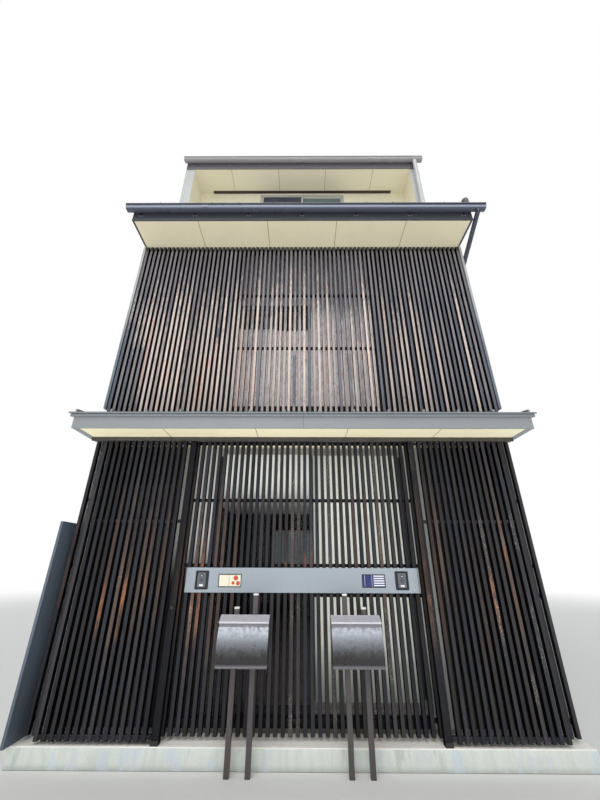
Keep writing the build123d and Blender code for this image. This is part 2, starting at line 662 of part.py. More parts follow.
# Mailboxes on posts
post_face = y_at(POST_SETBACK)
mailbox_place = Pos(post_face, MAILBOX_BOTTOM)
lid_front = (MAILBOX_FRONT - LID_OVERHANG, MAILBOX_FRONT_TOP + LID_GAP)


def mailbox_section(inset, back_top, front_top):
    """A mailbox in side view with its walls drawn in by an inset."""
    shoulder, belly, toe, foot = [
        (y + inset, z) for y, z in (MAILBOX_SHOULDER, MAILBOX_BELLY, MAILBOX_TOE, MAILBOX_FOOT)
    ]
    front = MAILBOX_FRONT + inset
    curve = ThreePointArc(shoulder, belly, toe)
    rest = Polyline(toe, (foot[0], inset), (-inset, inset), (-inset, back_top), (front, front_top), shoulder)
    return make_face(curve + rest)


def mailbox(x_middle):
    """An open-topped sheet box with a curved front."""
    x_span = (x_middle - MAILBOX_WIDTH / 2, x_middle + MAILBOX_WIDTH / 2)
    outer = section(mailbox_place * mailbox_section(0, MAILBOX_BACK_TOP, MAILBOX_FRONT_TOP), x_span)
    above = MAILBOX_BACK_TOP + MAILBOX_WALL
    inner = section(mailbox_place * mailbox_section(MAILBOX_WALL, above, above), shrunk(x_span, MAILBOX_WALL))
    return outer - inner


def mailbox_lid(x_middle):
    """A sloping lid with a hinge barrel along its back edge and a drip at its front."""
    barrel_y, barrel_z = LID_HINGE
    front_y, front_z = lid_front
    sheet = outline(
        (barrel_y, barrel_z + LID_BARREL), (front_y, front_z + MAILBOX_WALL), (front_y, front_z - LID_DRIP),
        (front_y + MAILBOX_WALL, front_z - LID_DRIP), (front_y + MAILBOX_WALL, front_z), (barrel_y, barrel_z),
    )
    profile = sheet + Pos(barrel_y, barrel_z) * Circle(LID_BARREL)
    half_width = MAILBOX_WIDTH / 2 + LID_SIDE_OVERHANG
    return section(mailbox_place * profile, (x_middle - half_width, x_middle + half_width))


post_y = (post_face, post_face + POST_SIZE)
posts = []
caps = []
for side in (-1, 1):
    for shift, top in ((POST_SPACING / 2, OUTER_POST_TOP), (-POST_SPACING / 2, INNER_POST_TOP)):
        x = side * (MAILBOX_X + shift) + MAILBOX_SHIFT
        post_x = (x - POST_SIZE / 2, x + POST_SIZE / 2)
        posts.append(block(post_x, post_y, (0, top)))
        caps.append(block(post_x, post_y, (top, top + POST_CAP)))
for name, x in (("left", MAILBOX_SHIFT - MAILBOX_X), ("right", MAILBOX_SHIFT + MAILBOX_X)):
    parts[f"{name}_mailbox"] = mailbox(x)
    parts[f"{name}_mailbox_lid"] = mailbox_lid(x)
parts["mailbox_posts"] = Part() + posts
parts["post_caps"] = Part() + caps


# Eaves
def fascia(y_face, z_span, outward):
    """A fascia board with a proud trim along its foot."""
    board = block(across(HALF_WIDTH), depth_span(y_face, -outward, 0, FASCIA_THICKNESS), z_span)
    trim_z = (z_span[0], z_span[0] + FASCIA_TRIM_HEIGHT)
    return board + block(across(HALF_WIDTH), depth_span(y_face, outward, 0, FASCIA_TRIM_PROUD), trim_z)


def gutter(y_fascia, z_top, x_span, outward, collars):
    """An eaves gutter with a rolled lip, closed ends and collars, given as middle and width."""
    points = (
        GUTTER_BACK_TOP, GUTTER_BACK_FOOT, GUTTER_BACK_BEND, GUTTER_BOTTOM,
        GUTTER_FRONT_BEND, GUTTER_FRONT_FOOT, GUTTER_FRONT_TOP,
    )
    placed = [(y_fascia + outward * out, z_top + up) for out, up in points]
    back_top, back_foot, back_bend, bottom, front_bend, front_foot, front_top = placed
    hull = make_face(
        ThreePointArc(back_foot, back_bend, bottom)
        + ThreePointArc(bottom, front_bend, front_foot)
        + Polyline(front_foot, front_top, back_top, back_foot)
    )
    mouth_out = GUTTER_FRONT_TOP[0] - 2 * GUTTER_WALL
    mouth_y = depth_span(y_fascia, outward, GUTTER_WALL, mouth_out - GUTTER_WALL)
    mouth = pane(mouth_y, (back_top[1] - 2 * GUTTER_WALL, z_top + 2 * GUTTER_COLLAR_PROUD))
    lip_y = front_top[0] + outward * GUTTER_LIP_RADIUS / 2
    lip = Pos(lip_y, z_top - GUTTER_LIP_RADIUS) * Circle(GUTTER_LIP_RADIUS)
    trough = section(hull + lip, x_span)
    sleeve = Pos(outward * GUTTER_COLLAR_PROUD, 0) * offset(hull, GUTTER_COLLAR_PROUD)
    for middle, width in collars:
        trough = trough + section(sleeve, (middle - width / 2, middle + width / 2))
    return trough - section(offset(hull, -GUTTER_WALL) + mouth, shrunk(x_span, GUTTER_WALL))


lower_soffit_y = (lower_fascia_y + FASCIA_THICKNESS, upper_wall_front)
parts["lower_soffit"] = soffit(across(EAVE_SOFFIT_HALF_WIDTH), lower_soffit_y, LOWER_SOFFIT_Z)
rake_front, rake_back = lower_soffit_y
rake = outline(
    (rake_front, LOWER_SOFFIT_Z), (rake_back, LOWER_SOFFIT_Z),
    (rake_back, lower_underside(rake_back)), (rake_front, lower_underside(rake_front)),
)
lower_fascia_z = (LOWER_SOFFIT_Z - FASCIA_DROP, lower_underside(lower_fascia_y))
lower_rakes = both_sides(section(rake, (-HALF_WIDTH, -EAVE_SOFFIT_HALF_WIDTH)))
parts["lower_fascia"] = fascia(lower_fascia_y, lower_fascia_z, -1) + lower_rakes
upper_fascia_z = (UPPER_SOFFIT_Z - FASCIA_DROP, upper_underside(upper_fascia_y))
parts["upper_fascias"] = fascia(upper_fascia_y, upper_fascia_z, -1) + fascia(rear_fascia_y, upper_fascia_z, 1)
front_soffit = soffit(room_x, (upper_fascia_y + FASCIA_THICKNESS, TOP_WALL_Y), UPPER_SOFFIT_Z)
rear_soffit = soffit(across(HALF_WIDTH), (REAR_Y, rear_fascia_y - FASCIA_THICKNESS), UPPER_SOFFIT_Z)
parts["upper_soffits"] = front_soffit + rear_soffit
parts["soffit_vent"] = block(
    across(ROOM_HALF_WIDTH - VENT_SIDE_GAP),
    (TOP_WALL_Y - VENT_GAP - VENT_DEPTH, TOP_WALL_Y - VENT_GAP),
    (UPPER_SOFFIT_Z - VENT_THICKNESS, UPPER_SOFFIT_Z),
)

# Roofs
roof_edge = HALF_WIDTH + RAKE_THICKNESS


def deck(y_span, underside):
    """A sloping roof deck in side view."""
    low, high = y_span
    return outline(
        (low, underside(low)), (high, underside(high)),
        (high, underside(high) + DECK_THICKNESS), (low, underside(low) + DECK_THICKNESS),
    )


lower_wide = section(deck((lower_eave_y, wing_front), lower_underside), across(roof_edge))
lower_back = section(deck((wing_front, TOP_WALL_Y), lower_underside), room_x)
lower_seams = seams((lower_eave_y, wing_front), lower_top, roof_edge, ROOF_SEAM_EDGE_GAP)
parts["lower_roof"] = lower_wide + lower_back + lower_seams
front_slope = section(deck((upper_eave_y, ridge_y), upper_underside), across(roof_edge))
rear_slope = section(deck((ridge_y, rear_eave_y), upper_underside), across(roof_edge))
front_seams = seams((upper_eave_y, ridge_y), upper_top, roof_edge, ROOF_SEAM_EDGE_GAP)
rear_seams = seams((ridge_y, rear_eave_y), upper_top, roof_edge, ROOF_SEAM_EDGE_GAP)
parts["upper_roof"] = front_slope + rear_slope + front_seams + rear_seams
cap_peak = ridge_bottom + DECK_THICKNESS + SEAM_HEIGHT
cap_low = cap_peak - ROOF_SLOPE * RIDGE_CAP_HALF
ridge_section = outline(
    (ridge_y - RIDGE_CAP_HALF, cap_low), (ridge_y, cap_peak), (ridge_y + RIDGE_CAP_HALF, cap_low),
    (ridge_y + RIDGE_CAP_HALF, cap_low + RIDGE_CAP_THICKNESS), (ridge_y, cap_peak + RIDGE_CAP_THICKNESS),
    (ridge_y - RIDGE_CAP_HALF, cap_low + RIDGE_CAP_THICKNESS),
)
parts["ridge_cap"] = section(ridge_section, across(roof_edge))
cap_y = y_at(CAP_SETBACK)
dome = make_face(
    Polyline((0, CAP_HEIGHT), (0, 0), (CAP_RADIUS, 0), (CAP_RADIUS, CAP_HEIGHT - CAP_RADIUS))
    + ThreePointArc(
        (CAP_RADIUS, CAP_HEIGHT - CAP_RADIUS),
        (CAP_RADIUS / 2 ** (1 / 2), CAP_HEIGHT - CAP_RADIUS + CAP_RADIUS / 2 ** (1 / 2)),
        (0, CAP_HEIGHT),
    )
)
cap_foot = lower_top(cap_y - CAP_RADIUS)
service_cap = Pos(roof_edge - CAP_EDGE_GAP, cap_y, cap_foot) * revolve(Plane.XZ * dome, Axis.Z)
parts["service_cap"] = service_cap - lower_wide

# Gutters, and downpipes whose tops are cut to the gutters' rounded undersides
def gutter_ends(overhangs):
    """The width that a gutter spans, with its own overhang at each end."""
    left, right = overhangs
    return (-HALF_WIDTH - left, HALF_WIDTH + right)


lower_gutter_x = gutter_ends(LOWER_GUTTER_OVERHANGS)
upper_gutter_x = gutter_ends(UPPER_GUTTER_OVERHANGS)
outlet_collar = (upper_gutter_x[1] - OUTLET_COLLAR / 2, OUTLET_COLLAR)
upper_collars = [(-UPPER_COLLAR_X, GUTTER_COLLAR), (UPPER_COLLAR_X, GUTTER_COLLAR), outlet_collar]
lower_collars = [(LOWER_COLLAR_X, GUTTER_COLLAR)]
parts["lower_gutter"] = gutter(lower_fascia_y, LOWER_GUTTER_TOP, lower_gutter_x, -1, lower_collars)
parts["upper_gutter"] = gutter(upper_fascia_y, UPPER_GUTTER_TOP, upper_gutter_x, -1, upper_collars)
parts["rear_gutter"] = gutter(rear_fascia_y, UPPER_GUTTER_TOP, upper_gutter_x, 1, upper_collars[:-1])


def pipe(radius, *points):
    """A round downpipe along a bent line."""
    line = Polyline(*points)
    start = Plane(line @ 0, z_dir=line % 0)
    return sweep(start * Circle(radius), path=line, transition=Transition.RIGHT)


gutter_outlet, gutter_depth = GUTTER_BOTTOM
lower_outlet = (lower_fascia_y - gutter_outlet, LOWER_GUTTER_TOP + gutter_depth)
lower_pipe_x = HALF_WIDTH + RAKE_THICKNESS + PIPE_SIDE_GAP + PIPE_RADIUS
parts["lower_downpipe"] = pipe(
    PIPE_RADIUS,
    (lower_pipe_x, lower_outlet[0], lower_outlet[1]),
    (lower_pipe_x, lower_outlet[0], lower_outlet[1] - LOWER_PIPE_DROP),
    (lower_pipe_x, WALL_Y, LOWER_PIPE_ELBOW_Z),
    (lower_pipe_x, WALL_Y, PIPE_FOOT_Z),
) - parts["lower_gutter"]
upper_outlet = (upper_fascia_y - gutter_outlet, UPPER_GUTTER_TOP + gutter_depth)
upper_pipe_x = HALF_WIDTH - UPPER_PIPE_INSET
upper_pipe_foot = lower_top(upper_outlet[0]) + SEAM_HEIGHT + PIPE_FOOT_GAP
parts["upper_downpipe"] = pipe(
    UPPER_PIPE_RADIUS,
    (upper_pipe_x, upper_outlet[0], upper_outlet[1]),
    (upper_pipe_x, upper_outlet[0], upper_pipe_foot),
) - parts["upper_gutter"]
rear_outlet = (rear_fascia_y + gutter_outlet, UPPER_GUTTER_TOP + gutter_depth)
rear_wall_pipe_y = REAR_Y + PIPE_SIDE_GAP + PIPE_RADIUS
parts["rear_downpipe"] = pipe(
    PIPE_RADIUS,
    (-upper_pipe_x, rear_outlet[0], rear_outlet[1]),
    (-upper_pipe_x, rear_outlet[0], rear_outlet[1] - REAR_PIPE_DROP),
    (-upper_pipe_x, rear_wall_pipe_y, REAR_PIPE_ELBOW_Z),
    (-upper_pipe_x, rear_wall_pipe_y, PIPE_FOOT_Z),
) - parts["rear_gutter"]

os.makedirs("parts", exist_ok=True)
for name, shape in parts.items():
    export_step(shape, f"parts/{name}.step")
print(len(parts), "pieces")
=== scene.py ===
"""Looks for the three-storey townhouse: weathered timber, metal, concrete and glass, light and camera."""
import math
from functools import reduce

import bmesh
import bpy
from mathutils import Matrix, Vector


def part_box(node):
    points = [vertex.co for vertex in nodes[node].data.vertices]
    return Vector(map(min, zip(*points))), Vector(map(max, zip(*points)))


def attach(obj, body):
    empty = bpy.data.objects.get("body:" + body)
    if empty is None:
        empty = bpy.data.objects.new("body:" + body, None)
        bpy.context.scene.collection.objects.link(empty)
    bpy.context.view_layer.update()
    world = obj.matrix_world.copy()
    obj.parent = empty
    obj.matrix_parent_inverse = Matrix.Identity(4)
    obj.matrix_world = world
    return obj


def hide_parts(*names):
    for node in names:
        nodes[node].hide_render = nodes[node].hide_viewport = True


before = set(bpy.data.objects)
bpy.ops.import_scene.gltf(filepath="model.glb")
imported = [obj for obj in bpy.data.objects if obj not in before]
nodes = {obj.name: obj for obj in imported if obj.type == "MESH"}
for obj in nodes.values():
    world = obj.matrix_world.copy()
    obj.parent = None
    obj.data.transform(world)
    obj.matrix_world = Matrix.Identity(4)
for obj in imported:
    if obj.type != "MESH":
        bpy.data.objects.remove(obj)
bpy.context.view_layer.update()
scene = bpy.context.scene

# Places and sizes in metres
SAME_POINT = 0.00005  # points closer than this are joined
BEDDED = 0.001  # how far a plate's back reaches into what carries it
TOP_PANES = 5.8  # the front panes above this level are the top storey's
LOWER_GUTTER_FOOT = 5.592
UPPER_GUTTER_RISE = 2.857  # from the lower gutter to the upper ones
FIRST_BOARD = 0.60  # level of the lowest joint between siding boards
BOARD_ROW = 0.455
BOARD_GAP = 0.007
BOARD_PROUD = 0.012
EAVE_END_OUTLINE = ((3.801, 8.328), (4.293, 8.328), (4.293, 8.544), (3.801, 8.6917))
EAVE_END_WIDTH = 0.018
REAR_WINDOWS = ((1.09, 2.265), (3.94, 5.115), (6.79, 7.965))  # foot and head of each opening
INTERCOM_WIDTH = 0.105
NAMEPLATE_WIDTH = 0.206
HINGE_Y = -3.9046
HINGE_Z = 1.019
MAILBOX_BACK = -3.9000
VENT_BARS = 120  # a count


# Small helpers for shader trees
class Bench:
    """Holds the node tree that is being built. The helpers below add their nodes to it."""
    tree = None


def colour(red, green, blue):
    """A tone given as it looks on a screen, from 0 to 255, as a shader colour."""
    def to_linear(level):
        level = level / 255
        return level / 12.92 if level <= 0.04045 else ((level + 0.055) / 1.055) ** 2.4

    return (to_linear(red), to_linear(green), to_linear(blue), 1)


def feed(node, inputs):
    """Gives a node its inputs. Each is a number, a colour or an output to link."""
    for key, value in dict(inputs).items():
        if isinstance(value, bpy.types.NodeSocket):
            Bench.tree.links.new(value, node.inputs[key])
        else:
            node.inputs[key].default_value = value


def put(kind, inputs=(), **settings):
    """Adds a shader node with its inputs and settings."""
    made = Bench.tree.nodes.new("ShaderNode" + kind)
    for name, value in settings.items():
        setattr(made, name, value)
    feed(made, inputs)
    return made


def maths(operation, first, second=0.0):
    """The output of one sum on two values."""
    return put("Math", {0: first, 1: second}, operation=operation).outputs[0]


def times(first, second):
    """Two values multiplied."""
    return maths("MULTIPLY", first, second)


def plus(first, second):
    """Two values added."""
    return maths("ADD", first, second)


def minus(first, second):
    """The second value taken from the first."""
    return maths("SUBTRACT", first, second)


def larger(first, second):
    """The larger of two values."""
    return maths("MAXIMUM", first, second)


def swing(value, width):
    """A pattern from 0 to 1 as a swing of the given width round zero."""
    return times(minus(value, 0.5), width)


def between(value, low, high, new_low=0.0, new_high=1.0):
    """A value carried from one range to another and kept inside it."""
    inputs = {"Value": value, "From Min": low, "From Max": high, "To Min": new_low, "To Max": new_high}
    return put("MapRange", inputs, interpolation_type="SMOOTHSTEP").outputs["Result"]


def blend(amount, first, second):
    """Two colours mixed by an amount. Each is an output, or a tone as it looks on a screen."""
    first, second = (colour(*tone) if isinstance(tone, tuple) else tone for tone in (first, second))
    return put("Mix", {0: amount, 6: first, 7: second}, data_type="RGBA").outputs[2]


def shaded(base, amount):
    """A colour made lighter or darker."""
    return put("VectorMath", {0: base, "Scale": amount}, operation="SCALE").outputs[0]


def noise(vector, scale, detail=4.0, roughness=0.55):
    """A soft pattern from 0 to 1."""
    inputs = {"Vector": vector, "Scale": scale, "Detail": detail, "Roughness": roughness}
    return put("TexNoise", inputs).outputs["Fac"]


def stretched(vector, x, y, z):
    """Coordinates scaled along each axis."""
    return put("VectorMath", {0: vector, 1: (x, y, z)}, operation="MULTIPLY").outputs[0]


def axes(vector):
    """The parts of a vector, named X, Y and Z."""
    return put("SeparateXYZ", {0: vector}).outputs


def mix_surfaces(amount, first, second, output_name):
    """Sends two shaders, mixed by an amount, to the tree's output node."""
    mixed = put("MixShader", {0: amount, 1: first.outputs[0], 2: second.outputs[0]})
    feed(Bench.tree.nodes[output_name], {"Surface": mixed.outputs[0]})


def seen_directly():
    """1 for what the camera sees, also in a mirror or through glass."""
    path = put("LightPath").outputs
    return larger(larger(path["Is Camera Ray"], path["Is Glossy Ray"]), path["Is Transmission Ray"])


class Spot:
    """A point on a surface: its position, also as x, y and z, the parts of the way it faces, and its clouds of dirt."""
    def __init__(self, position, normal, clouds):
        self.position = position
        self.x, self.y, self.z = axes(position)
        self.facing = axes(normal)
        self.clouds = clouds


def new_group(name, inputs, outputs):
    """An empty node group with named sockets, its inputs and its output node."""
    group = bpy.data.node_groups.new(name, "ShaderNodeTree")
    for label, kind in inputs:
        group.interface.new_socket(name=label, in_out="INPUT", socket_type=kind)
    for label, kind in outputs:
        group.interface.new_socket(name=label, in_out="OUTPUT", socket_type=kind)
    Bench.tree = group
    return group, group.nodes.new("NodeGroupInput").outputs, group.nodes.new("NodeGroupOutput")


def use(group, inputs):
    """Places a node group and gives its outputs."""
    return put("Group", inputs, node_tree=group).outputs


FLOAT = "NodeSocketFloat"
COLOUR = "NodeSocketColor"
VECTOR = "NodeSocketVector"

# Effects that several finishes share
SLAT_FIRST = -2.1805
SLAT_PITCH = 0.059740
SLAT_TONES = ("Stain", "Cool Stain", "Worn", "Bare")
SLAT_NUMBERS = (
    "Seed", "Shaded Rail Plane", "Worn Share", "Low End", "High End", "Spread", "Bare Share", "Flecks", "Contrast",
    "Lit Face Half Width", "Eave Shadow Level", "Lean", "Foot Lift", "Bare Low", "Bare High",
)


def make_slat_group():
    """Stain on upright slats: each slat has its own tone, and weathers within a band of heights. Painted shade darkens
    the slat sides, the face rims, the heads under the eave and the rails behind.
    """
    tones = [(name, COLOUR) for name in SLAT_TONES]
    numbers = [(name, FLOAT) for name in SLAT_NUMBERS]
    group, given, out = new_group(
        "slat_weathering_and_shade", [("Position", VECTOR), ("Normal", VECTOR), *tones, *numbers],
        [("Color", COLOUR), ("Roughness", FLOAT), ("Height", FLOAT)],
    )
    place = axes(given["Position"])
    counted = maths("DIVIDE", minus(place["X"], SLAT_FIRST), SLAT_PITCH)
    number = plus(maths("ROUND", counted), given["Seed"])
    dice = put("TexWhiteNoise", {"W": number}, noise_dimensions="1D").outputs
    more_dice = put("TexWhiteNoise", {"W": plus(number, 0.37)}, noise_dimensions="1D").outputs
    rolls = put("SeparateColor", {0: dice["Color"]}).outputs
    more_rolls = put("SeparateColor", {0: more_dice["Color"]}).outputs
    shift = put("CombineXYZ", {"Z": times(dice["Value"], 37.0)}).outputs[0]
    moved = put("VectorMath", {0: given["Position"], 1: shift}, operation="ADD").outputs[0]
    streak = noise(stretched(moved, 110, 110, 2.6), 1.0, 5.0, 0.62)
    fibre = noise(stretched(moved, 460, 460, 15), 1.0, 3.0, 0.6)
    patch = noise(stretched(moved, 3.0, 3.0, 1.6), 1.0, 3.0, 0.55)
    cloud = noise(stretched(given["Position"], 1.7, 0.5, 1.1), 1.0, 3.0, 0.5)
    speck = noise(stretched(moved, 260, 260, 70), 1.0, 2.0, 0.7)
    mottle = noise(stretched(moved, 45, 45, 13), 1.0, 4.0, 0.65)

    # Where a slat is worn, and where the bare wood shows
    height = plus(place["Z"], swing(patch, 0.7))
    top = minus(given["High End"], times(rolls[0], given["Spread"]))
    low = plus(given["Low End"], times(more_rolls[2], given["Spread"]))
    low = plus(low, times(between(place["X"], -1.65, -2.05), given["Foot Lift"]))
    zone = times(between(minus(height, top), 0.7, -0.7), between(minus(height, low), -0.3, 0.3))
    chance = minus(minus(given["Worn Share"], rolls[1]), times(place["X"], given["Lean"]))
    chance = plus(chance, swing(cloud, 0.5))
    level = times(zone, between(chance, -0.12, 0.12))
    torn = plus(plus(swing(streak, 0.9), swing(fibre, 0.5)), swing(mottle, 1.9))
    worn = times(between(plus(level, torn), 0.2, 1.0), between(rolls[0], 0.0, 1.0, 1.0, 0.55))
    bare_chance = plus(minus(given["Bare Share"], more_rolls[0]), swing(cloud, 2.2))
    bare = times(between(bare_chance, -0.1, 0.2), between(patch, 0.45, 0.62))
    bare = times(times(bare, worn), between(speck, 0.38, 0.56, 0.05, 1.0))
    bare = times(bare, between(minus(height, given["Bare Low"]), -0.15, 0.15))
    bare = times(bare, between(minus(height, given["Bare High"]), 0.2, -0.2))
    fleck = times(between(more_rolls[1], 0.8, 0.84), between(patch, 0.5, 0.58))
    fleck = times(times(between(speck, 0.57, 0.66), fleck), given["Flecks"])
    knot = put("TexVoronoi", {"Vector": stretched(moved, 26, 0.0, 2.2), "Scale": 1.0}).outputs["Distance"]
    knots = between(knot, 0.14, 0.05)

    cool = times(between(rolls[2], 0.35, 0.6), between(height, 5.1, 4.3, 0.25, 1.0))
    base = blend(cool, given["Stain"], given["Cool Stain"])
    base = blend(worn, base, given["Worn"])
    base = blend(bare, base, given["Bare"])
    base = blend(fleck, base, (188, 184, 170))

    # Grain and tone, a darker stain on the door stiles, then painted shade on the slat sides, the face rims, the heads
    # under the eave and the rails behind
    shade = times(between(streak, 0.25, 0.75, 0.84, 1.14), between(fibre, 0.3, 0.7, 0.92, 1.08))
    shade = times(shade, plus(swing(more_rolls[1], given["Contrast"]), 0.98))
    shade = times(shade, between(knots, 0.0, 1.0, 1.0, 0.5))
    stile = between(maths("ABSOLUTE", minus(maths("ABSOLUTE", place["X"]), 1.1325)), 0.036, 0.031)
    stile = times(stile, between(place["Y"], -3.72, -3.735))
    shade = times(shade, between(stile, 0.0, 1.0, 1.0, 0.5))
    # Painted shade: the slat sides are darkened almost to black
    side = maths("ABSOLUTE", axes(given["Normal"])["X"])
    shade = times(shade, between(side, 0.55, 0.7, 1.0, 0.03))
    # Painted shade: each face is darkened beyond the given half width from the slat's middle
    off_centre = times(maths("ABSOLUTE", minus(counted, maths("ROUND", counted))), SLAT_PITCH)
    shade = times(shade, between(minus(off_centre, given["Lit Face Half Width"]), -0.0004, 0.0006, 1.0, 0.12))
    # Painted shadow of the eave: the faces are darkened above the head level
    shade = times(shade, between(minus(place["Z"], given["Eave Shadow Level"]), -0.03, 0.02, 1.0, 0.3))
    # Painted shade: everything behind the rail plane, the rails with it, is darkened almost to black
    shade = times(shade, between(minus(place["Y"], given["Shaded Rail Plane"]), -0.001, 0.001, 1.0, 0.05))
    relief = minus(plus(times(streak, 0.6), times(fibre, 0.4)), times(knots, 0.3))
    feed(out, {"Color": shaded(base, shade), "Roughness": between(streak, 0.2, 0.8, 0.62, 0.86), "Height": relief})
    return group


def make_weather_group():
    """Soft dirt, upright runs and fine grain for plain outdoor surfaces."""
    group, given, out = new_group(
        "outdoor_weather",
        [("Position", VECTOR), ("Cloud Size", FLOAT), ("Run Width", FLOAT), ("Grain Size", FLOAT)],
        [("Clouds", FLOAT), ("Runs", FLOAT), ("Grain", FLOAT)],
    )
    cloud = noise(given["Position"], maths("DIVIDE", 1.0, given["Cloud Size"]), 5.0, 0.6)
    drawn_out = stretched(given["Position"], 1.0, 1.0, 0.07)
    run = noise(drawn_out, maths("DIVIDE", 1.0, given["Run Width"]), 4.0, 0.65)
    grain = noise(given["Position"], maths("DIVIDE", 1.0, given["Grain Size"]), 3.0, 0.7)
    feed(out, {"Clouds": between(cloud, 0.3, 0.7), "Runs": between(run, 0.35, 0.72), "Grain": grain})
    return group


slat_group = make_slat_group()
weather_group = make_weather_group()


# Finishes
def new_finish(name, metallic=0.0):
    """A material with one surface shader, and each point's position and facing in object coordinates."""
    finish = bpy.data.materials.new(name)
    finish.use_nodes = True
    Bench.tree = finish.node_tree
    surface = Bench.tree.nodes["Principled BSDF"]
    feed(surface, {"Metallic": metallic})
    coordinates = put("TexCoord").outputs
    return finish, surface, coordinates["Object"], coordinates["Normal"]


def coat(surface, base, roughness, relief, depth):
    """Gives a surface its colour, its roughness, and a relief of a given depth in metres."""
    bump = put("Bump", {"Height": relief, "Distance": depth, "Strength": 1.0}).outputs["Normal"]
    feed(surface, {"Base Color": base, "Roughness": roughness, "Normal": bump})


def slat_finish(
    name, seed, shaded_rail_plane, colours, worn_share, heights, spread, bare_share, flecks, contrast=0.64, lit_face_half=0.03,
    head=9.0, lean=0.0, foot_lift=0.0, bare_heights=(0.0, 9.0),
):
    """Stained timber for one set of slats. The colours are stain, cool stain, worn and bare.

    Beyond the given half width from a slat's middle the face is darkened as painted shade, and above the height of its
    head as a painted shadow of the eave. The sides, and all behind the rail plane, are painted dark as shade. The lean
    takes wear from the right-hand slats, and the foot lift keeps the far left ones' feet grey.
    """
    finish, surface, position, normal = new_finish(name)
    numbers = (
        seed, shaded_rail_plane, worn_share, *heights, spread, bare_share, flecks, contrast, lit_face_half, head, lean, foot_lift,
        *bare_heights,
    )
    inputs = {"Position": position, "Normal": normal, **dict(zip(SLAT_NUMBERS, numbers))}
    inputs.update(zip(SLAT_TONES, (colour(*tone) for tone in colours)))
    timber = use(slat_group, inputs)
    feed(surface, {"Specular IOR Level": 0.1})
    coat(surface, timber["Color"], timber["Roughness"], timber["Height"], 0.0012)
    return finish


def weathered(
    name, clean, dirty, run, sizes, rough, depth, metallic=0.0, amounts=(0.5, 0.5), tint=None, specular=0.5
):
    """A plain surface with clouds of a second tone, upright runs and grain, and a tint that varies with place; some
    tints paint light, shade or reflections.
    """
    finish, surface, position, normal = new_finish(name, metallic)
    feed(surface, {"Specular IOR Level": specular})
    inputs = {"Position": position, "Cloud Size": sizes[0], "Run Width": sizes[1], "Grain Size": sizes[2]}
    weather = use(weather_group, inputs)
    base = blend(times(weather["Clouds"], amounts[0]), clean, dirty)
    base = blend(times(weather["Runs"], amounts[1]), base, run)
    if tint:
        base = tint(Spot(position, normal, weather["Clouds"]), base)
    base = shaded(base, between(weather["Grain"], 0.3, 0.7, 0.94, 1.06))
    coat(surface, base, between(weather["Clouds"], 0.0, 1.0, *rough), weather["Grain"], depth)
    return finish


def seam_lines(value, places, half_width):
    """A mask that is 1 on thin lines at given places along one axis."""
    gaps = [maths("ABSOLUTE", minus(value, place)) for place in places]
    return reduce(larger, [between(gap, half_width, half_width * 0.4) for gap in gaps])


def top_eave(spot):
    """1 on the top eave's parts, 0 on the lower ones."""
    return between(spot.z, 7.0, 7.2)


def party_wall_tint(spot, base):
    """Cream lining on the walls' inner faces upstairs, and near-black painted shade on them inside the ground floor."""
    inner = between(times(maths("SIGN", spot.x), spot.facing["X"]), -0.4, -0.8)
    rear = times(between(spot.y, 3.0, 3.2), between(spot.facing["Y"], -0.4, -0.8))
    # Painted shade: the inner faces are near black below the first floor
    lining = blend(between(spot.z, 2.76, 2.72), (238, 232, 208), (20, 19, 20))
    return blend(larger(inner, rear), base, lining)


def ceiling_tint(spot, base):
    """Plain white board on a floor's underside."""
    return blend(between(spot.facing["Z"], -0.4, -0.8), base, (214, 215, 212))


def soffit_tint(spot, base):
    """A paler cream under the canopy as painted light, a softer one under the top eave, and thin dark joints between
    the boards.
    """
    # Painted light: the canopy's soffit is made paler
    lower = blend(between(spot.z, 4.0, 3.9), base, (244, 236, 203))
    upper = blend(top_eave(spot), lower, (236, 230, 205))
    return blend(seam_lines(spot.x, (-1.365, -0.455, 0.455, 1.365), 0.0045), upper, (112, 106, 90))


def fascia_tint(spot, base):
    """The canopy fascia's one joint, and a foot made lighter as painted light."""
    # Painted light: the fascia is lighter towards its foot
    lighter = blend(between(spot.z, 2.74, 2.66), base, (138, 144, 147))
    return blend(seam_lines(spot.x, (0.015,), 0.003), lighter, (96, 102, 110))


def mailbox_tint(spot, base):
    """Mottled metal with painted reflections: a bright band high up, darker down the front as the ground reflects, and
    a paler band at the foot.
    """
    fine = noise(spot.position, 210.0, 4.0, 0.75)
    level = plus(spot.z, plus(swing(fine, 0.10), swing(spot.clouds, 0.035)))
    # Painted reflection: darker towards the bottom, as the ground reflects in the metal
    ground_reflection = blend(between(level, 0.74, 0.94), (56, 54, 56), base)
    # Painted highlight: a bright band high up, below a mid grey top
    shoulder_highlight = blend(between(level, 0.93, 0.945), ground_reflection, (122, 121, 126))
    return blend(between(spot.z, 0.704, 0.694), shoulder_highlight, (112, 111, 115))


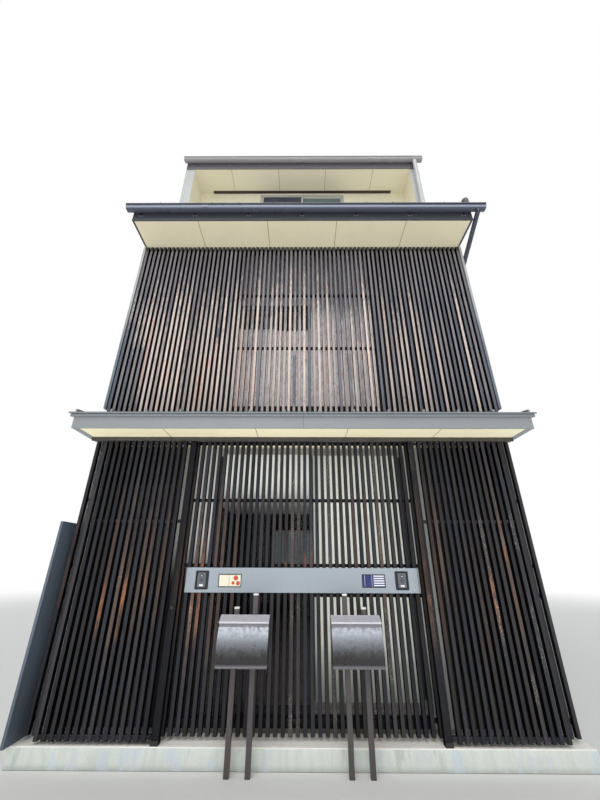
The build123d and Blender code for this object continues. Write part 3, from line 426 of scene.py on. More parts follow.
def plinth_tint(spot, base):
    """A damp foot, warm stains and pale washes; the top is made pale outside as painted light, and dark behind the
    slats and indoors as painted shade.
    """
    damp = blend(times(between(spot.z, 0.05, 0.0), 0.5), base, (150, 156, 150))
    stain = noise(spot.position, 2.3, 4.0, 0.6)
    stained = blend(between(stain, 0.6, 0.8, 0.0, 0.45), damp, (214, 204, 182))
    wash = noise(stretched(spot.position, 9, 9, 2.4), 1.0, 5.0, 0.65)
    stained = blend(between(wash, 0.48, 0.66, 0.0, 0.7), stained, (204, 216, 226))
    stained = blend(between(wash, 0.44, 0.30, 0.0, 0.5), stained, (176, 180, 176))
    # Painted light: the top is made paler than the faces
    top = between(spot.facing["Z"], 0.4, 0.8)
    lit_top = blend(between(stain, 0.3, 0.7), (255, 253, 246), (240, 238, 230))
    pale = blend(top, stained, lit_top)
    # Painted shade on the top behind the slats
    behind_slats = times(top, between(spot.y, -3.57, -3.53))
    shaded_behind_slats = blend(times(behind_slats, 0.85), pale, (84, 84, 82))
    # Painted shade on the top indoors
    indoors = times(top, between(spot.y, -3.46, -3.44))
    between_walls = between(maths("ABSOLUTE", spot.x), 2.07, 2.06)
    return blend(times(indoors, between_walls), shaded_behind_slats, (46, 42, 40))


def gutter_tint(spot, base):
    """Bands of painted reflection down each gutter's outer face: a pale band low down, a dark line and a pale top edge;
    the body turns another tone towards the foot, and the upper gutters are lightened to a warm grey as painted light.
    """
    high = top_eave(spot)
    level = minus(minus(spot.z, LOWER_GUTTER_FOOT), times(high, UPPER_GUTTER_RISE))
    # Painted light: each tone of the upper gutters is lightened to a warm grey
    body = blend(high, base, (150, 148, 150))
    foot = blend(high, (78, 83, 97), (160, 156, 160))
    reflected_band = blend(high, (150, 161, 182), (174, 172, 170))
    dark = blend(high, (46, 49, 60), (160, 158, 158))
    lip_highlight = blend(high, (124, 127, 132), (166, 165, 163))
    shown = blend(between(level, 0.040, 0.012), body, foot)
    # Painted reflections on the outer face: a pale band low down, a dark line above it and a pale top edge
    face = blend(between(level, 0.010, 0.018), shown, reflected_band)
    face = blend(between(level, 0.036, 0.041), face, dark)
    face = blend(between(level, 0.062, 0.066), face, lip_highlight)
    outward = between(times(maths("SIGN", spot.y), spot.facing["Y"]), 0.1, 0.3)
    return blend(outward, shown, face)


def eave_board_tint(spot, base):
    """The upper eave boards are a lighter, warmer grey."""
    return blend(top_eave(spot), base, (108, 105, 110))


def corner_tint(spot, base):
    """Pale corner trims whose street side turns blue-grey towards the foot."""
    lower = blend(between(spot.z, 4.9, 3.7), base, (112, 122, 133))
    return blend(between(spot.y, -3.5, -3.6), base, lower)


def front_wall_tint(spot, base):
    """Pale panels over and beside the ground floor's wide window, on a wall painted near black as shade; the left panel
    fades into that painted shade towards its foot.
    """
    right = between(spot.x, 1.13, 1.14)
    # The left panel fades into the painted shade towards its foot
    left = times(between(spot.x, -0.93, -0.94), between(spot.z, 1.2, 1.7))
    pale = larger(larger(between(spot.z, 2.57, 2.58), right), left)
    front = times(between(spot.y, -3.43, -3.44), between(maths("ABSOLUTE", spot.x), 1.346, 1.344))
    return blend(times(pale, front), base, (186, 187, 185))


def second_wall_tint(spot, base):
    """Behind the upper lattice: pale in the middle, with warm and dark blotches, and painted near black as shade on
    either side.
    """
    middle = times(between(spot.x, -0.84, -0.82), between(spot.x, 0.91, 0.89))
    blotch = noise(stretched(spot.position, 30, 1, 11), 1.0, 5.0, 0.7)
    warm = blend(between(blotch, 0.46, 0.58, 0.0, 0.6), base, (150, 124, 114))
    marked = blend(between(blotch, 0.42, 0.34, 0.0, 0.6), warm, (92, 88, 92))
    # Painted shade: near black outside the middle
    return blend(middle, (22, 21, 24), marked)


def sash_tint(spot, base):
    """Frames: darkened as painted shade on the two lower storeys but for some paler rails, off-white on top, plain
    metal at the rear.
    """
    height = spot.z
    # Painted shade: the frames of the two lower storeys are darkened
    dark = blend(between(height, 5.7, 5.8), (44, 43, 48), base)
    foot = times(between(height, 0.33, 0.31), between(spot.x, 0.10, 0.12))
    head = times(between(height, 2.50, 2.52), between(height, 2.9, 2.8))
    sill = times(between(height, 4.26, 4.25), between(height, 4.1, 4.15))
    shown = blend(larger(times(larger(foot, head), 0.7), sill), dark, base)
    shown = blend(between(height, 5.7, 5.9), shown, (214, 212, 205))
    return blend(between(spot.y, 0.0, 0.2), shown, base)


lower_slats = slat_finish(
    "dark_stained_slats", 0.0, -3.665, ((60, 58, 60), (50, 51, 56), (80, 68, 65), (150, 108, 84)),
    0.3, (0.5, 2.3), 0.6, 0.2, 0.6, bare_heights=(0.8, 1.6),
)
door_slats = slat_finish(
    "dark_stained_door_slats", 11.0, -3.7545, ((58, 56, 58), (49, 50, 55), (78, 66, 62), (192, 126, 84)),
    0.4, (0.6, 2.1), 0.6, 0.42, 0.7, bare_heights=(0.85, 1.5),
)
upper_slats = slat_finish(
    "faded_upper_slats", 29.0, -3.635, ((140, 137, 142), (108, 111, 121), (218, 204, 197), (224, 184, 168)),
    0.7, (1.2, 4.9), 0.8, 0.45, 0.5, 0.3, 0.0143, 5.405, 0.14, 2.4,
)
concrete = weathered(
    "plinth_concrete", (226, 231, 225), (213, 219, 213), (190, 196, 188),
    (0.55, 0.06, 0.006), (0.75, 0.9), 0.0015, amounts=(0.7, 0.35), tint=plinth_tint,
)
cream_wall = weathered(
    "cream_wall", (250, 244, 220), (240, 234, 210), (226, 220, 200),
    (0.8, 0.05, 0.004), (0.7, 0.85), 0.0008, amounts=(0.5, 0.25),
)
upper_wall = weathered(
    "upper_wall_board", (204, 204, 210), (190, 190, 196), (150, 150, 156),
    (0.6, 0.06, 0.004), (0.6, 0.8), 0.0008, amounts=(0.6, 0.35), tint=second_wall_tint,
)
# Painted shade: the ground floor's front wall and lintels are painted near black
shade_painted_wall = weathered(
    "shade_painted_ground_floor_wall", (24, 23, 25), (20, 19, 21), (32, 31, 33),
    (0.5, 0.05, 0.004), (0.7, 0.85), 0.0008, amounts=(0.6, 0.35), tint=front_wall_tint,
)
siding = weathered(
    "pale_siding", (206, 209, 206), (196, 199, 196), (178, 181, 178),
    (1.1, 0.05, 0.005), (0.55, 0.75), 0.0008, amounts=(0.5, 0.25), tint=party_wall_tint,
)
trim_paint = weathered(
    "corner_trim_paint", (200, 202, 198), (188, 190, 186), (168, 170, 166),
    (0.4, 0.03, 0.003), (0.5, 0.7), 0.0005, amounts=(0.5, 0.25), tint=corner_tint,
)
soffit_board = weathered(
    "cream_soffit", (234, 226, 196), (225, 217, 187), (212, 204, 176),
    (0.6, 0.4, 0.004), (0.6, 0.8), 0.0006, amounts=(0.5, 0.2), tint=soffit_tint,
)
canopy_metal = weathered(
    "canopy_blue_grey", (130, 136, 140), (123, 129, 133), (108, 113, 117),
    (0.5, 0.03, 0.003), (0.34, 0.5), 0.0003, 0.2, (0.5, 0.25), fascia_tint,
)
gutter_metal = weathered(
    "gutter_navy", (104, 111, 129), (96, 103, 120), (122, 129, 144),
    (0.4, 0.03, 0.003), (0.26, 0.42), 0.0003, 0.0, (0.5, 0.2), gutter_tint,
)
fascia_metal = weathered(
    "fascia_navy", (68, 70, 79), (61, 63, 72), (84, 86, 94),
    (0.4, 0.03, 0.003), (0.34, 0.5), 0.0003, 0.0, (0.5, 0.25), eave_board_tint, 0.3,
)
pipe_metal = weathered(
    "pipe_navy", (62, 68, 82), (54, 60, 73), (84, 89, 100),
    (0.4, 0.03, 0.003), (0.28, 0.44), 0.0003, 0.0, (0.5, 0.3),
)
roof_metal = weathered(
    "seam_roof_metal", (92, 96, 104), (82, 86, 94), (110, 113, 118),
    (0.9, 0.06, 0.003), (0.38, 0.55), 0.0003, 0.3, (0.6, 0.35),
)
panel_metal = weathered(
    "end_panel_blue_grey", (94, 106, 120), (80, 91, 104), (66, 73, 82),
    (0.7, 0.03, 0.003), (0.4, 0.55), 0.0003, 0.1, (0.6, 0.35),
)
sign_metal = weathered(
    "sign_pale_metal", (154, 163, 172), (148, 157, 166), (143, 151, 159),
    (0.35, 0.02, 0.002), (0.36, 0.5), 0.0002, 0.1, (0.5, 0.15),
)
zinc = weathered(
    "mailbox_zinc", (158, 165, 175), (136, 142, 151), (116, 118, 124),
    (0.03, 0.012, 0.0015), (0.26, 0.46), 0.0003, 0.45, (0.9, 0.35), mailbox_tint,
)
lid_zinc = weathered(
    "mailbox_lid_zinc", (214, 213, 222), (198, 197, 206), (176, 174, 182),
    (0.06, 0.02, 0.002), (0.28, 0.46), 0.0003, 0.4, (0.7, 0.25),
)
post_paint = weathered(
    "post_brown", (76, 71, 73), (64, 58, 60), (94, 84, 82),
    (0.2, 0.012, 0.002), (0.42, 0.6), 0.0003, 0.0, (0.5, 0.3),
)
pale_plastic = weathered(
    "pale_pipe", (212, 213, 214), (200, 202, 205), (182, 184, 187),
    (0.3, 0.03, 0.002), (0.28, 0.42), 0.0002, 0.0, (0.5, 0.3),
)
grey_plastic = weathered(
    "grey_cap", (84, 86, 92), (74, 76, 82), (98, 100, 104),
    (0.05, 0.01, 0.002), (0.4, 0.55), 0.0002, 0.0, (0.6, 0.3),
)
black_plastic = weathered(
    "intercom_black", (38, 40, 45), (32, 34, 38), (50, 53, 58),
    (0.03, 0.006, 0.0008), (0.3, 0.45), 0.0002, 0.0, (0.5, 0.2),
)
grey_face = weathered(
    "intercom_face_grey", (92, 97, 105), (82, 87, 95), (104, 108, 115),
    (0.02, 0.004, 0.0006), (0.34, 0.48), 0.0001, 0.0, (0.5, 0.2),
)
white_plastic = weathered(
    "small_white_plastic", (226, 227, 228), (214, 216, 218), (200, 202, 204),
    (0.02, 0.004, 0.0006), (0.35, 0.5), 0.0001, 0.0, (0.5, 0.2),
)
sash_metal = weathered(
    "sash_aluminium", (176, 175, 170), (164, 163, 159), (144, 143, 140),
    (0.3, 0.02, 0.002), (0.32, 0.45), 0.0002, 0.3, (0.5, 0.25), sash_tint,
)
steel = weathered(
    "track_steel", (150, 150, 152), (128, 128, 130), (100, 96, 92),
    (0.1, 0.01, 0.0015), (0.3, 0.5), 0.0002, 0.8, (0.6, 0.3),
)
dark_steel = weathered(
    "guide_dark_steel", (62, 60, 61), (52, 50, 51), (76, 72, 70),
    (0.1, 0.01, 0.0015), (0.35, 0.55), 0.0002, 0.5, (0.6, 0.3),
)
vent_metal = weathered(
    "vent_brown", (66, 50, 48), (56, 43, 41), (84, 70, 66),
    (0.2, 0.02, 0.002), (0.45, 0.6), 0.0003, 0.0, (0.5, 0.2),
)
valance = weathered(
    "valance_brown_grey", (66, 63, 61), (56, 53, 51), (82, 77, 73),
    (0.4, 0.05, 0.003), (0.5, 0.7), 0.0004, 0.0, (0.5, 0.3),
)
floor_board = weathered(
    "floor_board", (196, 170, 134), (178, 150, 114), (160, 134, 100),
    (0.3, 0.05, 0.004), (0.4, 0.55), 0.0005, 0.0, (0.5, 0.3), ceiling_tint,
)
frame_timber = weathered(
    "doorway_timber", (34, 30, 29), (28, 25, 24), (44, 39, 36),
    (0.12, 0.01, 0.002), (0.45, 0.6), 0.0005, 0.0, (0.6, 0.4),
)


def patterned_finish(name, ground, first, second, draw):
    """A glazed plate with a plain pattern in two colours on its ground."""
    finish, surface, position, _ = new_finish(name)
    place = axes(position)
    one, two = draw(place["X"], place["Z"])
    base = blend(two, blend(one, ground, first), second)
    wear = noise(position, 160.0, 4.0, 0.6)
    base = shaded(base, between(wear, 0.3, 0.7, 0.92, 1.05))
    coat(surface, base, between(wear, 0.2, 0.8, 0.18, 0.34), wear, 0.0002)
    return finish


def draw_rings(across, height):
    """Terracotta discs in a staggered group on the right, and a thin upright rule beside them."""
    discs = []
    for x, z, radius in ((-0.602, 1.290, 0.022), (-0.580, 1.247, 0.019), (-0.625, 1.250, 0.015)):
        spot = put("CombineXYZ", {"X": across, "Y": height}).outputs[0]
        gap = put("VectorMath", {0: spot, 1: (x, z, 0.0)}, operation="DISTANCE").outputs["Value"]
        discs.append(between(gap, radius, radius - 0.0015))
    return reduce(larger, discs), seam_lines(across, (-0.662,), 0.002)


def draw_stripes(across, height):
    """Navy on the left half, and level stripes on the right half."""
    right = between(across, 0.655, 0.659)
    stripes = times(between(maths("SINE", times(height, 330.0)), 0.0, 0.3), right)
    return larger(stripes, minus(1.0, right)), seam_lines(across, (0.575, 0.640), 0.002)


ring_plate = patterned_finish("plate_with_discs", (226, 221, 200), (190, 84, 62), (120, 128, 112), draw_rings)
stripe_plate = patterned_finish("plate_with_stripes", (222, 226, 232), (40, 52, 104), (206, 212, 222), draw_stripes)


def blind_finish():
    """White woven cloth with a fine weave and soft level creases."""
    finish, surface, position, _ = new_finish("blind_white")
    threads = noise(stretched(position, 900, 900, 60), 1.0, 2.0, 0.5)
    cross = noise(stretched(position, 60, 60, 900), 1.0, 2.0, 0.5)
    folds = noise(stretched(position, 0.8, 0.8, 6.0), 1.0, 3.0, 0.5)
    weave = times(plus(threads, cross), 0.5)
    base = blend(weave, (222, 222, 217), (240, 239, 234))
    base = shaded(base, between(folds, 0.3, 0.7, 0.95, 1.04))
    coat(surface, base, between(weave, 0.3, 0.7, 0.8, 0.92), weave, 0.0004)
    return finish


def clear_pane_tint(place, film):
    """Nearly clear in front and grey in the rear windows."""
    clear = blend(film, (243, 246, 245), (250, 251, 251))
    return blend(between(place["Y"], 0.0, 0.2), clear, (72, 78, 80))


def top_pane_tint(place, film):
    """Violet grey in the left sash and green grey in the right one, painted on the glass as its reflections."""
    # Painted reflection: the pane colours stand in for what the glass reflects
    pane_reflection = blend(between(place["X"], 0.02, 0.05), (88, 90, 106), (132, 148, 142))
    return blend(between(film, 0.4, 0.8, 0.0, 0.12), pane_reflection, (168, 178, 182))


def window_glass_finish(name, transmission, tint):
    """Glass with a faint film that lets daylight into the rooms."""
    finish, surface, position, _ = new_finish(name)
    film = noise(position, 2.5, 3.0)
    roughness = between(film, 0.3, 0.7, 0.01, 0.05)
    feed(surface, {"Base Color": tint(axes(position), film), "Roughness": roughness})
    feed(surface, {"Transmission Weight": transmission, "IOR": 1.2})
    path = put("LightPath").outputs
    passing = larger(path["Is Shadow Ray"], path["Is Diffuse Ray"])
    clear = put("BsdfTransparent", {"Color": (0.94, 0.95, 0.94, 1)})
    mix_surfaces(passing, surface, clear, "Material Output")
    return finish


blind_cloth = blind_finish()
glass = window_glass_finish("window_glass", 1.0, clear_pane_tint)
# The top panes pass only part of the light, so their painted reflection colours show
top_glass = window_glass_finish("top_window_glass", 0.3, top_pane_tint)
wearers = (
    (concrete, "foundation"), (trim_paint, "corner_trims"), (floor_board, "second_floor third_floor"),
    (siding, "left_party_wall right_party_wall rear_ground_wall rear_second_wall rear_third_wall"),
    (shade_painted_wall, "front_wall door_lintels"), (frame_timber, "doorway_frames"), (upper_wall, "second_floor_wall"),
    (cream_wall, "third_floor_wall"), (sash_metal, "front_window_frames rear_window_frames"),
    (glass, "front_window_glass rear_window_glass"), (blind_cloth, "window_blind"),
    (lower_slats, "centre_lattice edge_lattices"), (door_slats, "left_lattice_door right_lattice_door"),
    (upper_slats, "upper_lattice"), (panel_metal, "left_end_panel"), (steel, "door_track"),
    (dark_steel, "left_door_fittings right_door_fittings door_guides"), (valance, "door_valance"),
    (canopy_metal, "canopy_fascia canopy_roof"), (soffit_board, "canopy_soffit lower_soffit upper_soffits"),
    (sign_metal, "sign_panel"), (black_plastic, "intercoms nameplates"), (zinc, "left_mailbox right_mailbox"),
    (lid_zinc, "left_mailbox_lid right_mailbox_lid"), (post_paint, "mailbox_posts"),
    (fascia_metal, "lower_fascia upper_fascias"), (roof_metal, "lower_roof upper_roof ridge_cap"),
    (gutter_metal, "lower_gutter upper_gutter rear_gutter"), (pipe_metal, "lower_downpipe rear_downpipe"),
    (pale_plastic, "post_caps upper_downpipe"), (vent_metal, "soffit_vent"), (grey_plastic, "service_cap"),
)
finishes = {name: finish for finish, names in wearers for name in names.split()}
for name, piece in nodes.items():
    for slot in piece.material_slots:
        slot.material = finishes[name]
panes = nodes["front_window_glass"].data
panes.materials.append(top_glass)
for face in panes.polygons:
    if face.center.z > TOP_PANES:
        face.material_index = 1


# Softened edges on the modelled nodes
def soften(width, *names):
    """Takes the sharp edges off nodes with a narrow bevel."""
    for name in names:
        weld = nodes[name].modifiers.new("joined_faces", "WELD")
        weld.merge_threshold = SAME_POINT
        bevel = nodes[name].modifiers.new("soft_edges", "BEVEL")
        bevel.width = width
        bevel.segments = 1
        bevel.limit_method = "ANGLE"
        bevel.angle_limit = math.radians(40)


soften(0.0015, "centre_lattice", "edge_lattices", "upper_lattice", "left_lattice_door", "right_lattice_door")
soften(0.002, "mailbox_posts", "door_valance", "left_end_panel", "corner_trims")
soften(0.006, "foundation")


# Small helpers for meshes
def soften_edges(mesh, edges, width, steps=1):
    """Rounds edges of a mesh that is being made."""
    bmesh.ops.bevel(
        mesh, geom=edges, offset=width, offset_type="OFFSET", affect="EDGES", segments=steps, profile=0.5, material=-1
    )


def add_block(mesh, low, high, soft=0.0, steps=1):
    """Adds a block between two corners, its edges softened where asked."""
    low, high = Vector(low), Vector(high)
    place = Matrix.Translation((low + high) / 2) @ Matrix.Diagonal((*(high - low), 1))
    made = bmesh.ops.create_cube(mesh, size=1.0, matrix=place)["verts"]
    if soft:
        soften_edges(mesh, list({edge for vert in made for edge in vert.link_edges}), soft, steps)


def add_rod(mesh, start, end, radius, sides, soft=0.0):
    """Adds a round bar between two points, its two rims softened where asked."""
    start, end = Vector(start), Vector(end)
    turn = Vector((0, 0, 1)).rotation_difference(end - start).to_matrix().to_4x4()
    made = bmesh.ops.create_cone(
        mesh, cap_ends=True, segments=sides, radius1=radius, radius2=radius, depth=(end - start).length,
        matrix=Matrix.Translation((start + end) / 2) @ turn,
    )["verts"]
    if soft:
        caps = {face for vert in made for face in vert.link_faces if len(face.verts) == sides}
        soften_edges(mesh, list({edge for face in caps for edge in face.edges}), soft)


def add_ring(mesh, centre, inner, outer, low, high):
    """Adds a flat upright collar round a centre by spinning its section."""
    profile = [(inner, low), (outer, low), (outer, high), (inner, high)]
    verts = [mesh.verts.new((centre[0] + radius, centre[1], z)) for radius, z in profile]
    edges = [mesh.edges.new((verts[i], verts[(i + 1) % 4])) for i in range(4)]
    bmesh.ops.spin(
        mesh, geom=verts + edges, cent=(centre[0], centre[1], 0), axis=(0, 0, 1), angle=math.tau, steps=24,
        use_merge=True,
    )


def add_dome(mesh, centre, size, segments, rings):
    """Adds a flattened ball with the given half sizes, for a screw head."""
    place = Matrix.Translation(centre) @ Matrix.Diagonal((*size, 1))
    bmesh.ops.create_uvsphere(mesh, u_segments=segments, v_segments=rings, radius=1.0, matrix=place)


def add_frame(mesh, left, right, low, high, front, out, lap, proud, soft):
    """Adds four bars round a plate's rim: past it by out, over it by lap, and proud of its front."""
    for start, end in (
        ((left - out, low - out), (left + lap, high + out)),
        ((right - lap, low - out), (right + out, high + out)),
        ((left + lap, low - out), (right - lap, low + lap)),
        ((left + lap, high - lap), (right - lap, high + out)),
    ):
        add_block(mesh, (start[0], front - proud, start[1]), (end[0], front + BEDDED, end[1]), soft)


def place_mesh(name, mesh, finish):
    """Turns a finished mesh into an object with one finish."""
    data = bpy.data.meshes.new(name)
    mesh.to_mesh(data)
    mesh.free()
    data.materials.append(finish)
    made = bpy.data.objects.new(name, data)
    scene.collection.objects.link(made)
    return made


def make_piece(name, mesh, finish, body="house"):
    """Turns a finished mesh into a piece that rides on a body."""
    bmesh.ops.recalc_face_normals(mesh, faces=mesh.faces)
    piece = place_mesh(name, mesh, finish)
    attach(piece, body)
    return piece


def merged_copy(name):
    """A bmesh copy of a node with its doubled points merged."""
    mesh = bmesh.new()
    mesh.from_mesh(nodes[name].data)
    bmesh.ops.remove_doubles(mesh, verts=mesh.verts, dist=SAME_POINT)
    return mesh


def slice_mesh(mesh, point, direction):
    """Cuts every face that a plane crosses."""
    everything = [*mesh.verts, *mesh.edges, *mesh.faces]
    bmesh.ops.bisect_plane(mesh, geom=everything, dist=0.00001, plane_co=point, plane_no=direction)


def raise_faces(mesh, faces):
    """Doubles faces into a closed shell and gives the points of the new side, to be moved."""
    raised = bmesh.ops.extrude_face_region(mesh, geom=faces, use_keep_orig=True)["geom"]
    return [part for part in raised if isinstance(part, bmesh.types.BMVert)]


# New pieces
def make_wall_boards(node, axis, side, joints):
    """Level siding boards on one face of a wall, with upright joints, cut to the face's own outline and openings."""
    mesh = merged_copy(node)
    plane = max(vert.co[axis] * side for vert in mesh.verts)
    away = [
        face for face in mesh.faces
        if face.normal[axis] * side < 0.99 or abs(face.calc_center_median()[axis] * side - plane) > 0.001
    ]
    bmesh.ops.delete(mesh, geom=away, context="FACES")
    low = min(vert.co.z for vert in mesh.verts)
    high = max(vert.co.z for vert in mesh.verts)
    cuts = []
    level = FIRST_BOARD
    while level < high:
        if level > low:
            cuts.append(level)
            slice_mesh(mesh, (0, 0, level), (0, 0, 1))
        level += BOARD_ROW
    along = 1 - axis
    for joint in joints:
        place, direction = [0, 0, 0], [0, 0, 0]
        place[along], direction[along] = joint, 1
        slice_mesh(mesh, place, direction)
    bounds = [low - 1, *cuts, high + 1]
    ends = [-9, *joints, 9]
    cells = [(rows, columns) for rows in zip(bounds, bounds[1:]) for columns in zip(ends, ends[1:])]
    for rows, columns in cells:
        cell = []
        for face in mesh.faces:
            centre = face.calc_center_median()
            if rows[0] < centre.z < rows[1] and columns[0] < centre[along] < columns[1]:
                cell.append(face)
        if not cell:
            continue
        parts = bmesh.ops.split(mesh, geom=cell)["geom"]
        faces = [part for part in parts if isinstance(part, bmesh.types.BMFace)]
        rim = bmesh.ops.inset_region(
            mesh, faces=faces, thickness=BOARD_GAP / 2, depth=0.0, use_even_offset=True, use_boundary=True
        )["faces"]
        bmesh.ops.delete(mesh, geom=rim, context="FACES")
    step = [0.0, 0.0, 0.0]
    step[axis] = side * BOARD_PROUD
    bmesh.ops.translate(mesh, verts=raise_faces(mesh, list(mesh.faces)), vec=step)
    make_piece(f"{node}_boards", mesh, siding_boards)


siding_boards = weathered(
    "siding_boards", (202, 205, 202), (192, 196, 192), (174, 178, 174),
    (0.9, 0.05, 0.005), (0.55, 0.75), 0.0008, amounts=(0.5, 0.3),
)
make_wall_boards("left_party_wall", 0, -1, (-1.43, 1.60))
make_wall_boards("right_party_wall", 0, 1, (-1.43, 1.60))
for wall in ("rear_ground_wall", "rear_second_wall", "rear_third_wall"):
    make_wall_boards(wall, 1, 1, (1.30,))
rear_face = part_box("rear_ground_wall")[1][1]


def make_rear_trims():
    """Belt boards over the rear edges of the floors, and corner boards on the ends of the party walls."""
    mesh = bmesh.new()
    for name, inset, proud, top in (
        ("second_floor", 0.003, 0.014, None), ("third_floor", 0.003, 0.014, None),
        ("left_party_wall", 0.004, 0.016, 8.30), ("right_party_wall", 0.004, 0.016, 8.30),
    ):
        low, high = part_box(name)
        upper = top or high[2] - inset
        add_block(
            mesh, (low[0] + 0.002, rear_face - BEDDED, low[2] + inset), (high[0] - 0.002, rear_face + proud, upper),
            0.002,
        )
    make_piece("rear_wall_trims", mesh, trim_paint)


def make_eave_ends():
    """Boards that close the two ends of the rear eave between its soffit and the roof."""
    mesh = bmesh.new()
    for near in (-2.222, 2.204):
        board = mesh.faces.new([mesh.verts.new((near, y, z)) for y, z in EAVE_END_OUTLINE])
        bmesh.ops.translate(mesh, verts=raise_faces(mesh, [board]), vec=(EAVE_END_WIDTH, 0.0, 0.0))
    make_piece("rear_eave_ends", mesh, fascia_metal)


def make_rear_sills():
    """A sill and a drip cap at each rear window."""
    mesh = bmesh.new()
    for foot, head in REAR_WINDOWS:
        for low, high in ((foot - 0.028, foot), (head, head + 0.020)):
            add_block(mesh, (-0.900, rear_face - 0.03, low), (0.900, rear_face + 0.045, high), 0.004)
    make_piece("rear_window_sills", mesh, sash_metal)


def make_blind():
    """The cloth sheet of the roller blind behind the ground-floor window, with its roller and bottom bar."""
    low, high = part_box("window_blind")
    width = high[0] - low[0]
    length = high[2] - low[2] - 0.03
    middle = (low[1] + high[1]) / 2
    mesh = bmesh.new()
    place = Matrix.Translation(((low[0] + high[0]) / 2, middle, low[2] + length / 2))
    place = place @ Matrix.Rotation(math.pi / 2, 4, "X") @ Matrix.Diagonal((width, length, 1, 1))
    bmesh.ops.create_grid(mesh, x_segments=24, y_segments=48, size=0.5, matrix=place)
    for vert in mesh.verts:
        across = (vert.co.x - low[0]) / width
        drop = (vert.co.z - low[2]) / length
        vert.co.y += 0.0012 * math.sin(across * 9.0 + drop * 2.0) * math.sin(math.pi * drop)
    cloth = make_piece("blind_sheet", mesh, blind_cloth)
    thickness = cloth.modifiers.new("cloth_thickness", "SOLIDIFY")
    thickness.thickness = 0.0006
    thickness.offset = 0.0
    mesh = bmesh.new()
    top = high[2]
    add_rod(mesh, (low[0], middle, top - 0.022), (high[0], middle, top - 0.022), 0.017, 20, 0.002)
    for x in (low[0] - 0.003, high[0] - 0.003):
        add_block(mesh, (x, middle - 0.020, top - 0.050), (x + 0.006, middle + 0.020, top + 0.010), 0.001)
    make_piece("blind_roller", mesh, white_plastic)
    mesh = bmesh.new()
    add_block(mesh, (low[0], middle - 0.005, low[2] - 0.002), (high[0], middle + 0.005, low[2] + 0.018), 0.002)
    bar = make_piece("blind_bottom_bar", mesh, white_plastic)
    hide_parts("window_blind")


def make_intercoms():
    """Two intercoms in the sign: a bezel, a grey face with a camera lens, and a blank white label."""
    bezels, faces, labels = bmesh.new(), bmesh.new(), bmesh.new()
    low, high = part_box("intercoms")
    front, foot, head = low[1], low[2], high[2]
    lens = head - 0.036
    for left in (low[0], high[0] - INTERCOM_WIDTH):
        right = left + INTERCOM_WIDTH
        add_frame(bezels, left, right, foot, head, front, 0.006, 0.004, 0.009, 0.0015)
        add_block(
            faces, (left + 0.014, front - 0.014, foot + 0.012), (right - 0.014, front + BEDDED, head - 0.010), 0.004, 2
        )
        centre = (left + right) / 2
        add_rod(bezels, (centre, front - 0.013, lens), (centre, front - 0.018, lens), 0.013, 24, 0.001)
        for row in range(4):
            z = foot + 0.058 + row * 0.007
            add_block(bezels, (centre - 0.018, front - 0.0155, z), (centre + 0.018, front - 0.013, z + 0.0025), 0.0006)
        add_rod(labels, (centre, front - 0.017, lens), (centre, front - 0.0188, lens), 0.0055, 16)
        label_low = (centre - 0.017, front - 0.0155, foot + 0.020)
        add_block(labels, label_low, (centre + 0.017, front - 0.013, foot + 0.036), 0.0006)
    make_piece("intercom_bezels", bezels, black_plastic)
    make_piece("intercom_faces", faces, grey_face)
    make_piece("intercom_labels", labels, white_plastic)


def make_nameplates():
    """Two glazed plates with plain patterns, each in a thin dark frame."""
    low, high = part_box("nameplates")
    front, foot, head = low[1], low[2], high[2]
    for name, left, finish in (("left", low[0], ring_plate), ("right", high[0] - NAMEPLATE_WIDTH, stripe_plate)):
        right = left + NAMEPLATE_WIDTH
        mesh = bmesh.new()
        add_block(
            mesh, (left + 0.004, front - 0.004, foot + 0.004), (right - 0.004, front + BEDDED, head - 0.004), 0.0015
        )
        make_piece(f"{name}_name_tile", mesh, finish)
        mesh = bmesh.new()
        add_frame(mesh, left, right, foot, head, front, 0.003, 0.003, 0.007, 0.0008)
        make_piece(f"{name}_name_frame", mesh, black_plastic)


def make_sign_screws():
    """Six domed screws that hold the sign to the lattice."""
    mesh = bmesh.new()
    low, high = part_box("sign_panel")
    for x in (low[0] + 0.022, 0.0, high[0] - 0.022):
        for z in (low[2] + 0.020, high[2] - 0.020):
            add_dome(mesh, (x, low[1], z), (0.005, 0.0025, 0.005), 12, 8)
    make_piece("sign_screws", mesh, sign_metal)


def make_mailbox_trims():
    """For each mailbox: thin cheeks on its ends, a rolled bead at its foot, and hinge leaves behind its lid."""
    for side in ("left", "right"):
        node = f"{side}_mailbox"
        low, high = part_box(node)
        mesh = merged_copy(node)
        others = []
        for face in mesh.faces:
            from_end = min(abs(face.calc_center_median().x - x) for x in (low[0], high[0]))
            if abs(face.normal.x) <= 0.99 or from_end >= 0.0005:
                others.append(face)
        bmesh.ops.delete(mesh, geom=others, context="FACES")
        for point in raise_faces(mesh, list(mesh.faces)):
            point.co.x += 0.002 if point.co.x > (low[0] + high[0]) / 2 else -0.002
        bead = (low[1] + 0.0095, low[2] + 0.012)
        add_rod(mesh, (low[0] + 0.002, *bead), (high[0] - 0.002, *bead), 0.0055, 14, 0.001)
        make_piece(f"{side}_mailbox_trims", mesh, zinc)
        mesh = bmesh.new()
        front, foot, top = HINGE_Y + 0.0038, HINGE_Z - 0.030, HINGE_Z - 0.006
        for start in (low[0] + 0.040, high[0] - 0.080):
            add_block(mesh, (start, front, foot), (start + 0.040, MAILBOX_BACK, top), 0.0004)
        make_piece(f"{side}_mailbox_hinge_leaves", mesh, zinc)


